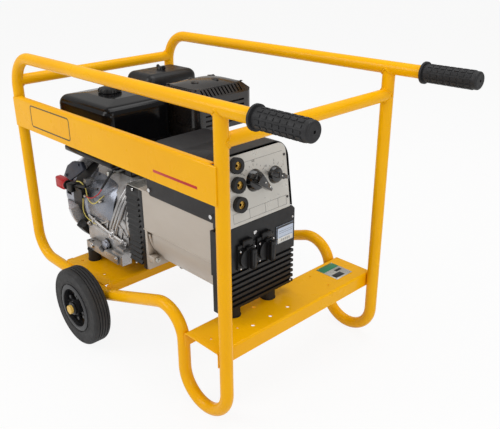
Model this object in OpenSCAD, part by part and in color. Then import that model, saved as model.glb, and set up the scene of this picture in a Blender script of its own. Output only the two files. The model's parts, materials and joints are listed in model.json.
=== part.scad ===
// Engine driven welder: a petrol engine and a welding alternator on a wheeled tube frame.
// +X is the handle and control panel end, -Y the side with the long plate, +Z up.
// The origin is on the ground, under the middle of the overall box.

/* [Frame] */
// Outer diameter of the frame tube
tube_d = 30; // [26:1:34]
// Wall of the frame tube
tube_wall = 2; // [1.5:0.5:3]
// Overall length, rear upright to handle tip
frame_l = 1082; // [1060:2:1110]
// Spacing of the two side loops, centre to centre
frame_w = 525; // [505:5:560]
// Height of the top tubes' centre line
top_z = 735; // [722:1:760]
// Height of the lower tubes' centre line
low_z = 146; // [140:1:152]
// How far the handles reach ahead of the front uprights
handle_l = 225; // [205:5:250]
// Spacing of front upright and leg, which the foot bend joins
foot_w = 148; // [142:2:156]
// Bend radius at the top rear corners
bend_top = 87; // [70:1:100]
// Bend radius at the bottom rear corners
bend_low = 71; // [60:1:80]
// Bend radius from the lower tube into the leg
bend_leg = 69.5; // [60:0.5:78]
// Bend radius where the lower tube starts to rise
bend_kink = 56; // [40:1:70]
// How far behind the leg the lower tube starts to rise
kink_run = 322; // [300:2:340]
// Height that the lower tube would reach at the leg
corner_z = 258; // [252:1:264]

/* [Plates] */
// Thickness of the folded sheet
sheet_t = 3; // [2:0.5:4]
// Height of the side plate
plate_h = 83; // [60:1:100]
// Height of the side plate's top edge
plate_top_z = 628; // [615:1:640]
// Height of the front deck's top face
front_deck_z = 192; // [188:1:194]
// Drop of the front deck's flanges
front_flange = 37; // [30:1:42]
// Length of the rear deck
rear_deck_l = 214; // [200:2:220]
// Drop of the rear deck's flanges
rear_flange = 28; // [20:1:34]

/* [Wheels] */
// Outer diameter of the tyre
tyre_d = 216; // [200:2:220]
// Width of the tyre
tyre_w = 48; // [40:1:54]
// Diameter of the rim's seat under the tyre
rim_d = 128; // [110:1:136]
// Diameter of the axle
axle_d = 20; // [16:1:22]
// Distance of the axle ahead of the rear uprights
axle_x_off = 310; // [300:2:316]

/* [Engine] */
// Height of the crankshaft's centre line
shaft_z = 322; // [318:1:326]
// Height of the crankshaft above the engine's feet
crank_h = 123; // [121:1:125]
// Diameter of the crankshaft's journals
journal_d = 30; // [26:1:34]
// Radius of the fan cover
fan_r = 108; // [104:1:110]
// Length of the fuel tank
tank_l = 255; // [235:5:260]
// Width of the fuel tank
tank_w = 202; // [190:1:206]
// Height of the fuel tank
tank_h = 150; // [140:1:152]

/* [Alternator] */
// Length of the alternator's housing
stator_l = 286; // [280:1:290]
// Radius of the alternator's barrel
barrel_r = 106; // [102:1:108]
// Width of the alternator's end cover
end_w = 244; // [236:1:250]
// Radius of the rotor
rotor_r = 62; // [56:1:66]
// Air gap between rotor and stator
air_gap = 0.6; // [0.4:0.1:1]
// Width of the control panel
panel_w = 206; // [198:1:210]
// Height of the control panel
panel_h = 157; // [155:1:160]
// Diameter of a welding socket's body
weld_socket_d = 36; // [32:1:38]
// Bore of a welding socket
weld_bore_d = 13; // [12:0.5:14]

/* [Fits] */
// Radial clearance of a running shaft
run_gap = 0.05; // [0.02:0.01:0.1]
// Gap left where a welded or bolted piece seats
seat_gap = 0.1; // [0.05:0.05:0.2]
// Gap between pieces that move past each other
move_gap = 0.4; // [0.3:0.1:0.6]

/* [Hidden] */
$fn = 72;
tube_r = tube_d / 2;
front_x = frame_l / 2 - handle_l;
rear_x = -frame_l / 2 + tube_r;
tip_x = frame_l / 2;
grip_end_t = 6;
weld_trim = 5;
bend_lap = 1;
bend_swell = 0.05;
deck_holes = [[87, -137, 5], [87, -79, 5], [87, -19, 5], [33, -80, 5], [61, -243, 3], [70, -170, 3], [27, 133, 3],
    [88, 133, 3]];
leg_x = front_x - foot_w;
foot_r = foot_w / 2;
foot_z = tube_r + foot_r;
side_y = frame_w / 2;
kink_x = leg_x - kink_run;
rise = atan((corner_z - low_z) / kink_run);
kink_tan = bend_kink * tan(rise / 2);
leg_tan = bend_leg * tan((90 + rise) / 2);
leg_bend_z = corner_z - leg_tan;
leg_bend_x = leg_x - bend_leg;
cross_rear_z = top_z - 67;
cross_front_z = top_z - 63;
cross_rear_x = rear_x + bend_top
    - sqrt(pow(bend_top, 2) - pow(max(0, cross_rear_z - (top_z - bend_top)), 2));

// Stations along the machine, and the places that the pieces share.
shaft_y = -72;
deck_gap = seat_gap;
rear_deck_z = low_z + tube_r + deck_gap + sheet_t;
axle_x = rear_x + axle_x_off;
tyre_r = tyre_d / 2;
tyre_y = side_y + tube_r + 8.5;
hub_r = 19;
hub_end_y = tyre_y + tyre_w + 3;
cap_r = axle_d / 2 + 2;
foot_top_t = 22;
feet_z = shaft_z - crank_h;
pto_x = front_x - 466;
cover_t = 24;
case_l = 202;
case_x = pto_x - cover_t - case_l;
rear_deck_x = case_x - 9;
fan_cover_l = 62;
fan_cover_x = case_x - fan_cover_l;
recoil_l = 58;
recoil_x = fan_cover_x - recoil_l;
journal_r = journal_d / 2;
crank_end_x = pto_x + 50;
chamber_r = 64;
cyl_tilt = 25;
cyl_x = case_x + 110;
chamber_l = 92;
cyl_base = 98;
cyl_h = 78;
head_h = 50;
port_x = 68;
port_h = 25;
port_y = shaft_y + (cyl_base + cyl_h + port_h) * cos(cyl_tilt);
port_z = shaft_z + (cyl_base + cyl_h + port_h) * sin(cyl_tilt);
adapter_l = 58;
adapter_x = pto_x;
stator_x = adapter_x + adapter_l;
stator_end_x = stator_x + stator_l;
box_half = barrel_r + 5;
ledge_z = shaft_z + 15;
stator_top_z = shaft_z + 124;
end_x = stator_end_x;
end_t = 30;
end_z = shaft_z - 104;
end_top_z = shaft_z + 105;
panel_z = end_top_z + 2;
panel_x = end_x + end_t;
panel_lean = 7.3;
panel_t = 2;
box_r = 45;
box_wall = 1.5;
box_x = stator_x + 42;
box_top_z = panel_z + panel_h + 6;
box_low_z = box_top_z - 21;
box_skirt_z = shaft_z + 119;
ramp = 11;
ramp_x = stator_x + 142;
panel_r = 24;
mount_r = 19;
mount_y = [shaft_y - 120, shaft_y + 64];
engine_mount_x = [case_x + 45];
generator_mount_x = end_x + 10;
generator_mount_y = [shaft_y - 66, shaft_y + 52];
foot_plate_z = front_deck_z + 25;
mount_bolt_r = 4;

drain_x = case_x + 104;
drain_z = feet_z + 28;
filler_r = 11;
handle_x = recoil_x + 22;
handle_y = 60;
handle_z = 62;
rope_r = 2.5;
rope_out = 64;
rope_in = 76;
tank_x = case_x - 46;
tank_y = shaft_y - 136;
tank_z = shaft_z + 165;
tank_crown = 5;
tank_top_z = tank_z + tank_h + tank_crown;
neck_h = 8;
cap_x = tank_x + 110;
cap_y = tank_y + 105;
neck_r = 24;
cleaner_l = 130;
cleaner_w = 180;
cleaner_x = case_x - 94;
cleaner_y = shaft_y + 122;
cleaner_z = shaft_z + 244;
carb_x = case_x - 10;
carb_y = cleaner_y + 92;
carb_top_z = shaft_z + 190;
muffler_x = pto_x - 94;
muffler_y = shaft_y + 74;
muffler_z = shaft_z + 223;
muffler_l = 164;
muffler_w = 206;
muffler_h = 112;
shield_wall = 1.6;
switch_x = recoil_x + 16;
switch_y = shaft_y - 118;
switch_z = shaft_z + 40;
plate_back_y = shaft_y - 106;
outlet_y = [shaft_y - 44, shaft_y + 17];
outlet_z = shaft_z + 25;
outlet_r = 25;
meter_y = shaft_y + 59;
meter_z = shaft_z + 18;
meter_w = 58;
meter_h = 46;
socket_y = -130;
socket_h = [49, 94, 138];
knob_y = [-76, -11];
knob_h = 91;

wire_r = 1.6;
wire_a = [[-19, -116, 64], [-12, -116, 66], [-2, -115, 67], [8, -114, 64], [16, -113, 58], [22, -112, 48],
    [23, -112, 36], [26, -112, 25], [34, -112, 17], [46, -112, 14], [58, -112, 16], [70, -112, 22], [80,
    -110, 30], [87, -106, 38], [90, -96, 44], [90, -83, 46]];
wire_b = [[6, -115, 22], [5, -115, 14], [0, -114, 0], [-5, -113, -14], [-5, -112, -28], [2, -111, -39], [15,
    -110, -45], [30, -109, -48], [42, -109, -50], [51, -106, -50], [55, -98, -50]];

// Extrudes a (y, z) outline along +X, and an (x, z) outline along +Y.
module along_x(x0, l) { translate([x0, 0, 0]) rotate([90, 0, 90]) linear_extrude(l) children(); }
module along_y(y0, l) { translate([0, y0 + l, 0]) rotate([90, 0, 0]) linear_extrude(l) children(); }

// A round bar along X on the crankshaft's line.
module shaft_bar(x0, l, r) {
    translate([x0, shaft_y, shaft_z]) rotate([0, 90, 0]) cylinder(h = l, r = r);
}

// A round bar along Y.
module bar_y(x, y0, z, l, r) { translate([x, y0, z]) rotate([-90, 0, 0]) cylinder(h = l, r = r); }

// A box with rounded upright edges.
module rounded_block(size, r) {
    linear_extrude(size[2]) rounded_rect(size[0], size[1], r);
}

// A rectangle with round corners, its lower left corner at the origin.
module rounded_rect(w, h, r) {
    translate([r, 0]) square([w - 2 * r, h]);
    translate([0, r]) square([w, h - 2 * r]);
    for (x = [r, w - r], y = [r, h - r]) translate([x, y]) circle(r);
}

// A straight run of round bar between two points of a side loop's plane.
module run_xz(a, b, r) {
    d = b - a;
    translate([a[0], 0, a[1]]) rotate([0, 90 - atan2(d[1], d[0]), 0]) cylinder(h = norm(d), r = r);
}

// A bend of round bar in the same plane, from angle a0 to a1 about its centre c.
module bend_xz(c, bend_r, a0, a1, r) {
    translate([c[0], 0, c[1]]) rotate([90, 0, 0]) rotate([0, 0, a0])
        rotate_extrude(angle = a1 - a0) translate([bend_r, 0]) circle(r);
}

// The same two as hollow tube. A run laps into the bends at its ends, where the wall is a hair thicker.
module tube_run(a, b) {
    d = b - a;
    translate([a[0], 0, a[1]]) rotate([0, 90 - atan2(d[1], d[0]), 0]) translate([0, 0, -bend_lap])
        linear_extrude(norm(d) + 2 * bend_lap) tube_section(0);
}

module tube_bend(c, bend_r, a0, a1) {
    translate([c[0], 0, c[1]]) rotate([90, 0, 0]) rotate([0, 0, a0])
        rotate_extrude(angle = a1 - a0) translate([bend_r, 0]) tube_section(bend_swell);
}

module tube_section(swell) {
    difference() {
        circle(tube_r + swell);
        circle(tube_r - tube_wall - swell);
    }
}

// The whole side loop: handle, top, rear, lower tube, leg, foot and front upright.
module side_loop() {
    tube_run([rear_x + bend_top, top_z], [tip_x - grip_end_t - bend_lap, top_z]);
    tube_bend([rear_x + bend_top, top_z - bend_top], bend_top, 90, 180);
    tube_run([rear_x, low_z + bend_low], [rear_x, top_z - bend_top]);
    tube_bend([rear_x + bend_low, low_z + bend_low], bend_low, 180, 270);
    tube_run([rear_x + bend_low, low_z], [kink_x - kink_tan, low_z]);
    tube_bend([kink_x - kink_tan, low_z + bend_kink], bend_kink, 270, 270 + rise);
    tube_run([kink_x + kink_tan * cos(rise), low_z + kink_tan * sin(rise)],
             [leg_x - leg_tan * cos(rise), corner_z - leg_tan * sin(rise)]);
    tube_bend([leg_bend_x, leg_bend_z], bend_leg, 0, 90 + rise);
    tube_run([leg_x, foot_z], [leg_x, leg_bend_z]);
    tube_bend([leg_x + foot_r, foot_z], foot_r, 180, 360);
    difference() {
        tube_run([front_x, foot_z], [front_x, top_z - weld_trim - bend_lap]);
        run_xz([front_x - 2 * tube_r, top_z], [front_x + 2 * tube_r, top_z], tube_r - tube_wall / 2);
    }
}

module left_side_loop() { color("gold") translate([0, -side_y, 0]) side_loop(); }
module right_side_loop() { color("gold") translate([0, side_y, 0]) side_loop(); }

// A cross tube between the loops, its ends coped to the tubes that carry it.
module cross_tube(x, z) {
    difference() {
        translate([x, weld_trim - side_y, z]) rotate([-90, 0, 0])
            linear_extrude(frame_w - 2 * weld_trim) tube_section(0);
        for (s = [-1, 1]) translate([0, s * side_y, 0]) children();
    }
}

module rear_cross_tube() {
    color("gold") cross_tube(cross_rear_x, cross_rear_z) {
        bend_xz([rear_x + bend_top, top_z - bend_top], bend_top, 90, 185, tube_r + seat_gap);
    }
}

module front_cross_tube() {
    color("gold") cross_tube(front_x, cross_front_z) {
        run_xz([front_x, cross_front_z - 2 * tube_r], [front_x, top_z], tube_r + seat_gap);
    }
}

// ---- Plates ----

// The long plate on the near side, with its top edge rolled in between the uprights.
module side_plate() {
    outer_y = -side_y - tube_r - seat_gap - sheet_t;
    roll_r = 7;
    plate_x = rear_x - 2;
    plate_l = front_x - rear_x + 4;
    color("gold") difference() {
        along_x(plate_x, plate_l) {
            translate([outer_y, plate_top_z - plate_h]) square([sheet_t, plate_h - roll_r]);
            translate([outer_y + roll_r, plate_top_z - roll_r]) intersection() {
                difference() {
                    circle(roll_r);
                    circle(roll_r - sheet_t);
                }
                translate([-roll_r, 0]) square(roll_r);
            }
            translate([outer_y + roll_r, plate_top_z - sheet_t]) square([8, sheet_t]);
        }
        for (x = [rear_x, front_x])
            translate([x - tube_r - 3, outer_y + sheet_t, plate_top_z - roll_r - 1])
                cube([2 * tube_r + 6, 20, roll_r + 2]);
    }
}

// A folded channel, open below: top face at z, flanges down at both ends of its x range.
module channel(x0, l, z, drop, bend) {
    difference() {
        union() {
            translate([x0, z - drop]) square([l, drop - bend]);
            translate([x0 + bend, z - bend]) square([l - 2 * bend, bend]);
            for (x = [x0 + bend, x0 + l - bend]) translate([x, z - bend]) circle(bend);
        }
        translate([x0 + sheet_t, z - drop - 1]) square([l - 2 * sheet_t, drop - bend + 1]);
        translate([x0 + bend, z - bend]) square([l - 2 * bend, bend - sheet_t]);
        for (x = [x0 + bend, x0 + l - bend]) translate([x, z - bend]) circle(bend - sheet_t);
    }
}

// The deck under the engine, lying on the lower tubes with its flanges between them.
module rear_deck() {
    inner_y = side_y - tube_r - 1;
    outer_y = side_y - 4;
    bend = 8;
    color("goldenrod") difference() {
        union() {
            along_y(-inner_y, 2 * inner_y) channel(rear_deck_x, rear_deck_l, rear_deck_z, rear_flange, bend);
            translate([rear_deck_x + bend, -outer_y, rear_deck_z - sheet_t])
                cube([rear_deck_l - 2 * bend, 2 * outer_y, sheet_t]);
        }
        for (x = engine_mount_x, y = mount_y)
            translate([x, y, rear_deck_z - sheet_t - 1]) cylinder(h = sheet_t + 2, r = mount_bolt_r + 0.5);
        for (x = [rear_deck_x + 40, rear_deck_x + 155])
            translate([x, -inner_y + 22, rear_deck_z - sheet_t - 1]) cylinder(h = sheet_t + 2, r = 4);
    }
}

// The deck under the alternator, fitted between the legs and the front uprights.
module front_deck() {
    deck_x = leg_x + tube_r + seat_gap;
    deck_l = front_x - tube_r - seat_gap - deck_x;
    deck_half = side_y + 9;
    color("goldenrod") difference() {
        along_y(-deck_half, 2 * deck_half) channel(deck_x, deck_l, front_deck_z, front_flange, 6);
        for (y = generator_mount_y)
            translate([generator_mount_x, y, front_deck_z - sheet_t - 1])
                cylinder(h = sheet_t + 2, r = mount_bolt_r + 0.5);
        for (h = deck_holes) translate([deck_x + h[0], h[1], front_deck_z - sheet_t - 1])
            cylinder(h = sheet_t + 2, r = h[2]);
    }
}

// ---- Wheels ----

// Two brackets under the lower tubes, which carry the axle.
module axle_brackets() {
    color("goldenrod") for (s = [-1, 1]) difference() {
        along_y(s * side_y - 4, 8) {
            translate([axle_x, tyre_r]) circle(axle_d / 2 + 8);
            translate([axle_x - axle_d / 2 - 8, tyre_r]) square([axle_d + 16, low_z - tyre_r]);
        }
        bar_y(axle_x, s * side_y - 5, tyre_r, 10, axle_d / 2 + seat_gap);
        translate([axle_x - 40, s * side_y, low_z]) rotate([0, 90, 0]) cylinder(h = 80, r = tube_r + seat_gap);
    }
}

// Two stub axles with heads inside the brackets.
module axle_stubs() {
    head_t = 7;
    head_y = side_y - 4 - seat_gap - head_t;
    color("silver") for (s = [-1, 1]) scale_y(s) {
        bar_y(axle_x, head_y, tyre_r, hub_end_y + 9 - head_y, axle_d / 2);
        bar_y(axle_x, head_y, tyre_r, head_t, axle_d / 2 + 4);
    }
}

// A solid tyre with a flat tread, round shoulders and four grooves.
module tyre(y0) {
    shoulder = 9;
    color("dimgray") bar_axis(y0) rotate_extrude() difference() {
        union() {
            translate([rim_d / 2, 2]) square([tyre_r - shoulder - rim_d / 2, tyre_w - 4]);
            translate([rim_d / 2 + 6, 0]) square([tyre_r - shoulder - rim_d / 2 - 6, tyre_w]);
            translate([rim_d / 2 + 6, shoulder]) square([tyre_r - rim_d / 2 - 6, tyre_w - 2 * shoulder]);
            for (z = [shoulder, tyre_w - shoulder]) translate([tyre_r - shoulder, z]) circle(shoulder);
        }
        for (i = [-1.5:1:1.5]) translate([tyre_r - 3, tyre_w / 2 + i * 8 - 1.2]) square([4, 2.4]);
    }
}

// Turns children from a local Z axis to the wheel axis, starting at y0.
module bar_axis(y0) { translate([axle_x, y0, tyre_r]) rotate([-90, 0, 0]) children(); }

// A plastic rim: seat ring, six spokes and a hub bored for the axle.
module rim(y0) {
    seat = rim_d / 2 - seat_gap;
    color("black") bar_axis(y0) difference() {
        union() {
            rotate_extrude() {
                translate([seat - 7, 3]) square([4, tyre_w - 6]);
                translate([seat - 4, 4]) square([4, tyre_w - 8]);
            }
            cylinder(h = tyre_w, r = hub_r);
            for (a = [0:60:300]) rotate([0, 0, a]) translate([hub_r - 3, -6, tyre_w / 2 - 8])
                cube([seat - hub_r - 1, 12, 16]);
        }
        translate([0, 0, -1]) cylinder(h = tyre_w + 2, r = axle_d / 2 + run_gap);
    }
}

module left_tyre() { tyre(-tyre_y - tyre_w); }
module right_tyre() { tyre(tyre_y); }
module left_rim() { rim(-tyre_y - tyre_w); }
module right_rim() { rim(tyre_y); }

// Caps pressed on the axle's ends.
module hub_caps() {
    cap_l = 16;
    cap_y = hub_end_y - 2.5;
    color("khaki") for (s = [-1, 1]) scale_y(s) difference() {
        bar_y(axle_x, cap_y, tyre_r, cap_l, cap_r);
        bar_y(axle_x, cap_y - 1, tyre_r, hub_end_y + 9 - cap_y + 1 + seat_gap, axle_d / 2 + seat_gap);
    }
}

// Mirrors its children to the far side when s is 1 and to the near side when it is -1.
module scale_y(s) {
    if (s > 0) children();
    else mirror([0, 1, 0]) children();
}

// ---- Handles ----

// A rubber grip over the end of a top tube: flange, sleeve and rounded, drilled end.
module grip() {
    grip_l = 133;
    wall = 4.5;
    flange_t = 5;
    color("black") translate([tip_x, 0, top_z]) rotate([0, -90, 0]) difference() {
        union() {
            rotate_extrude() {
                translate([0, 0]) square([tube_r + wall - 5, 5]);
                translate([0, 5]) square([tube_r + wall, grip_l - 5]);
                intersection() {
                    translate([tube_r + wall - 5, 5]) circle(5);
                    square([tube_r + wall, 5]);
                }
                translate([0, grip_l - flange_t]) square([tube_r + wall + 5, flange_t]);
            }
            for (i = [0:6], a = [0:30:330]) rotate([0, 0, a])
                translate([tube_r + wall - 1, -3, 14 + i * 15.5]) cube([2.2, 6, 11]);
        }
        translate([0, 0, grip_end_t]) cylinder(h = grip_l, r = tube_r + seat_gap);
        translate([0, 0, -1]) cylinder(h = grip_end_t + 2, r = 3);
    }
}

module left_grip() { translate([0, -side_y, 0]) grip(); }
module right_grip() { translate([0, side_y, 0]) grip(); }

// ---- Mounts ----

// A rubber buffer between two steel discs, from z0 up to z1.
module buffer(x, y, z0, z1) {
    disc_t = 2;
    h = z1 - z0 - 2 * seat_gap;
    translate([x, y, z0 + seat_gap]) {
        cylinder(h = disc_t, r = mount_r);
        translate([0, 0, h - disc_t]) cylinder(h = disc_t, r = mount_r);
        cylinder(h = h, r = mount_r - 1.5);
    }
}

module rubber_mounts() {
    color("black") {
        for (x = engine_mount_x, y = mount_y) buffer(x, y, rear_deck_z, feet_z);
        for (y = generator_mount_y) buffer(generator_mount_x, y, front_deck_z, foot_plate_z);
    }
}

// ---- Engine ----

// The engine's foot: two rails under the crankcase with a hole over each buffer.
module feet() {
    rail_w = 44;
    for (y = mount_y) translate([case_x + 26, y - rail_w / 2 + (y < shaft_y ? 12 : -12), feet_z])
        cube([157, rail_w, foot_top_t]);
}

// The crankcase: a closed casting with a chamber for the crank and a line bore.
module crankcase() {
    near = shaft_y - 100;
    far = shaft_y + 92;
    base_z = feet_z + foot_top_t - 6;
    color("silver") difference() {
        union() {
            along_x(case_x, case_l) polygon([
                [near, base_z], [near, shaft_z - 12], [near + 18, shaft_z + 62], [near + 52, shaft_z + 104],
                [far - 78, shaft_z + 104], [far - 44, shaft_z + 60], [far, shaft_z - 42], [far, base_z]]);
            feet();
            tilted() translate([-58, -58, 40]) rounded_block([116, 116, cyl_base - 40], 14);
            along_x(case_x + 6, case_l - 12) polygon([[near - 7, base_z], [near - 7, base_z + 38],
                [near - 1, base_z + 46], [near + 9, base_z + 46], [near + 9, base_z]]);
            for (i = [0:3]) translate([case_x + 92 + i * 24, near - 3, base_z + 44])
                rotate([0, 22, 0]) cube([4, 12, 40]);
            translate([case_x + case_l - 46, near - 26, feet_z]) cube([46, 30, foot_top_t + 12]);
            translate([case_x + case_l - 34, near - 20, feet_z]) cube([34, 24, foot_top_t + 26]);
            bar_y(case_x + 34, near - 6, base_z + 58, 12, 9);
            bar_y(case_x + 132, near - 6, base_z + 58, 12, 9);
            translate([case_x + 2, plate_back_y + seat_gap, shaft_z + 56]) cube([12, 40, 18]);
            translate([case_x + 2, plate_back_y + seat_gap, shaft_z + 30]) cube([10, 24, 20]);
        }
        shaft_bar(case_x - 1, case_l + 2, journal_r + run_gap);
        shaft_bar(cyl_x - chamber_l / 2, chamber_l, chamber_r);
        tilted() translate([-70, -70, cyl_base - seat_gap]) cube([140, 140, 120]);
        for (x = engine_mount_x, y = mount_y)
            translate([x, y, feet_z - 1]) cylinder(h = foot_top_t + 2, r = mount_bolt_r + 0.5);
        bar_y(drain_x, near - 40, drain_z, 40, filler_r + 6);
        bar_y(drain_x, near - 2, drain_z, 22, filler_r + move_gap);
    }
}

// Turns children so that local Z runs up the leaning cylinder from the crankshaft.
module tilted() {
    translate([cyl_x, shaft_y, shaft_z]) rotate([cyl_tilt - 90, 0, 0]) children();
}

// The round, ribbed cover that closes the crankcase at the output end.
module crankcase_cover() {
    cover_r = 98;
    color("lightgray") difference() {
        union() {
            shaft_bar(pto_x - cover_t + seat_gap, 8, cover_r);
            shaft_bar(pto_x - cover_t + 8, cover_t - 8, cover_r - 16);
            for (a = [0:20:340]) translate([pto_x - cover_t + 6, shaft_y, shaft_z]) rotate([a, 0, 0])
                translate([0, -2.5, 40]) cube([cover_t - 8, 5, cover_r - 44]);
        }
        shaft_bar(pto_x - cover_t - 1, cover_t + 2, journal_r + run_gap);
    }
}

// The finned cylinder, closed around its bore.
module cylinder_block() {
    color("gray") tilted() {
        translate([-44, -44, cyl_base]) rounded_block([88, 88, cyl_h - seat_gap], 14);
        for (i = [0:7]) translate([-58, -58, cyl_base + 8 + i * 9]) rounded_block([116, 116, 3], 16);
    }
}

module cylinder_head() {
    z0 = cyl_base + cyl_h;
    color("gray") tilted() {
        translate([-50, -50, z0]) rounded_block([100, 100, head_h], 12);
        for (i = [0:3]) translate([-60, -60, z0 + 6 + i * 10]) rounded_block([120, 120, 3], 14);
        translate([-port_x, -16, z0 + port_h - 13]) cube([2 * port_x, 32, 26]);
    }
}

module rocker_cover() {
    z0 = cyl_base + cyl_h + head_h + seat_gap;
    color("silver") tilted() {
        translate([-45, -38, z0]) rounded_block([90, 76, 5], 12);
        translate([-40, -33, z0 + 4]) rounded_block([80, 66, 22], 16);
    }
}

// The drum around the flywheel, with a duct that leads the air to the cylinder.
module fan_outline(inset) {
    translate([shaft_y, shaft_z]) {
        circle(fan_r - inset);
        rotate(cyl_tilt) translate([0, inset - 66]) square([fan_r + 46 - inset, 132 - 2 * inset]);
    }
}

module fan_cover() {
    wall = 2.5;
    color("black") difference() {
        along_x(fan_cover_x, fan_cover_l - seat_gap) fan_outline(0);
        along_x(fan_cover_x + wall, fan_cover_l) fan_outline(wall);
        shaft_bar(fan_cover_x - 1, wall + 2, fan_r - 24);
    }
}

// The starter's dome with vent slots around its face.
module recoil_cover() {
    wall = 2.5;
    round_r = 14;
    dome_r = fan_r - 2;
    color("silver") difference() {
        translate([fan_cover_x - seat_gap, shaft_y, shaft_z]) rotate([0, -90, 0]) rotate_extrude() difference() {
            union() {
                square([dome_r, recoil_l - round_r]);
                square([dome_r - round_r, recoil_l]);
                translate([dome_r - round_r, recoil_l - round_r]) circle(round_r);
            }
            translate([0, -1]) square([dome_r - wall, recoil_l - round_r + 1]);
            translate([0, -1]) square([dome_r - round_r, recoil_l - wall + 1]);
            translate([dome_r - round_r, recoil_l - round_r]) circle(round_r - wall);
        }
        for (a = [0:30:330]) translate([recoil_x - 2, shaft_y, shaft_z]) rotate([a, 0, 0])
            translate([0, -7, 46]) cube([wall + 6, 14, 30]);
        for (a = [0:24:336]) translate([fan_cover_x - 42, shaft_y, shaft_z]) rotate([a + 12, 0, 0])
            translate([0, -9, dome_r - 8]) cube([26, 18, 12]);
        translate([handle_x, shaft_y + handle_y, shaft_z + handle_z]) rotate([-90, 0, 0])
            cylinder(h = 60, r = rope_r + move_gap);
    }
}

// The pull handle on the starter's rope, drawn out along +Y.
module recoil_handle() {
    color("black") translate([handle_x, shaft_y + handle_y + rope_out, shaft_z + handle_z]) {
        rotate([-90, 0, 0]) cylinder(h = 14, r = 8);
        translate([-9, 10, -42]) cube([18, 20, 84]);
        for (z = [-42, 42]) translate([-9, 20, z]) rotate([0, 90, 0]) cylinder(h = 18, r = 10);
    }
    color("white") bar_y(handle_x, shaft_y - rope_in, shaft_z + handle_z, rope_in + handle_y + rope_out + 1, rope_r);
}

// The fuel tank, a hollow pressing with round edges, a raised middle and a filler neck.
module tank_shell(inset) {
    edge = 26;
    hull() {
        for (x = [edge, tank_l - edge], y = [edge, tank_w - edge], z = [edge, tank_h - edge])
            translate([x, y, z]) sphere(edge - inset, $fn = 32);
        for (x = [0.3, 0.7], y = [0.35, 0.65])
            translate([x * tank_l, y * tank_w, tank_h - 4 - inset]) cylinder(h = tank_crown + 4, r = 14, $fn = 32);
    }
}

module fuel_tank() {
    wall = 2;
    flange_z = 44;
    color("black") difference() {
        union() {
            translate([tank_x, tank_y, tank_z]) tank_shell(0);
            translate([cap_x, cap_y, tank_top_z - 12]) cylinder(h = neck_h + 12, r = neck_r);
            translate([tank_x - 3, tank_y - 3, tank_z + flange_z]) rounded_block([tank_l + 6, tank_w + 6, 4], 28);
        }
        translate([tank_x, tank_y, tank_z]) tank_shell(wall);
        translate([cap_x, cap_y, tank_top_z - 20]) cylinder(h = 60, r = neck_r - 3);
    }
}

// Four stays that carry the tank on the crankcase.
module tank_stays() {
    top = shaft_z + 104;
    color("dimgray") for (x = [case_x + 50, case_x + 130])
        translate([x, shaft_y - 46, top + seat_gap]) difference() {
            cube([28, 46, tank_z - top - 2 * seat_gap]);
            translate([-1, 3, 3]) cube([30, 40, tank_z - top - 6]);
        }
}

module fuel_cap() {
    color("black") translate([cap_x, cap_y, tank_top_z + move_gap]) difference() {
        union() {
            cylinder(h = 20, r = neck_r + 5);
            for (a = [0:45:315]) rotate([0, 0, a]) translate([neck_r + 1, -5, 0]) cube([7, 10, 17]);
        }
        translate([0, 0, -1]) cylinder(h = neck_h + 1, r = neck_r + move_gap);
    }
}

// Air cleaner: base with its duct, cover, and the knob that holds the cover.
module air_cleaner_base() {
    color("black") {
        translate([cleaner_x, cleaner_y, cleaner_z]) rounded_block([cleaner_l, cleaner_w, 26], 24);
        translate([cleaner_x + cleaner_l - 46, carb_y - 23, carb_top_z + seat_gap])
            rounded_block([36, 46, cleaner_z - carb_top_z], 8);
    }
}

module air_cleaner_cover() {
    r = 24;
    color("black") translate([cleaner_x, cleaner_y, cleaner_z + 26 + seat_gap]) {
        hull() {
            for (x = [r, cleaner_l - r], y = [r, cleaner_w - r]) {
                translate([x, y, 0]) cylinder(h = 10, r = r, $fn = 32);
                translate([x, y, 40]) sphere(r, $fn = 32);
            }
        }
    }
}

module air_cleaner_knob() {
    color("black") translate([cleaner_x + cleaner_l / 2, cleaner_y + cleaner_w / 2,
                              cleaner_z + 26 + 64 + move_gap]) {
        cylinder(h = 9, r = 13);
        translate([-19, -3.5, 2]) cube([38, 7, 9]);
    }
}

// The silencer box and its louvred heat shield.
module muffler() {
    color("dimgray") {
        translate([muffler_x + 10, muffler_y + 10, muffler_z + 8])
            rounded_block([muffler_l - 20, muffler_w - 20, muffler_h - 40], 26);
        translate([cyl_x + port_x + seat_gap, port_y - 16, port_z - 16]) cube([34, 34, muffler_z + 36 - port_z]);
        for (y = [60, muffler_w - 60]) {
            translate([muffler_x + muffler_l - 12, muffler_y + y, muffler_z + 44]) rotate([0, 90, 0])
                cylinder(h = 12 - shield_wall - seat_gap, r = 7);
            translate([muffler_x + shield_wall + seat_gap, muffler_y + y, muffler_z + 44]) rotate([0, 90, 0])
                cylinder(h = 12, r = 7);
        }
    }
}

// The heat shield's outline: round upright corners, sloping shoulders around the top.
module shield_block(inset) {
    s = 24;
    l = muffler_l - 2 * inset;
    w = muffler_w - 2 * inset;
    h = muffler_h - inset;
    translate([muffler_x + inset, muffler_y + inset, muffler_z]) intersection() {
        rounded_block([l, w, h], 22 - inset);
        along_x(-1, l + 2) polygon([[0, 0], [w, 0], [w, h - s], [w - s, h], [s, h], [0, h - s]]);
        along_y(-1, w + 2) polygon([[0, 0], [l, 0], [l, h - s], [l - s, h], [s, h], [0, h - s]]);
    }
}

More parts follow.
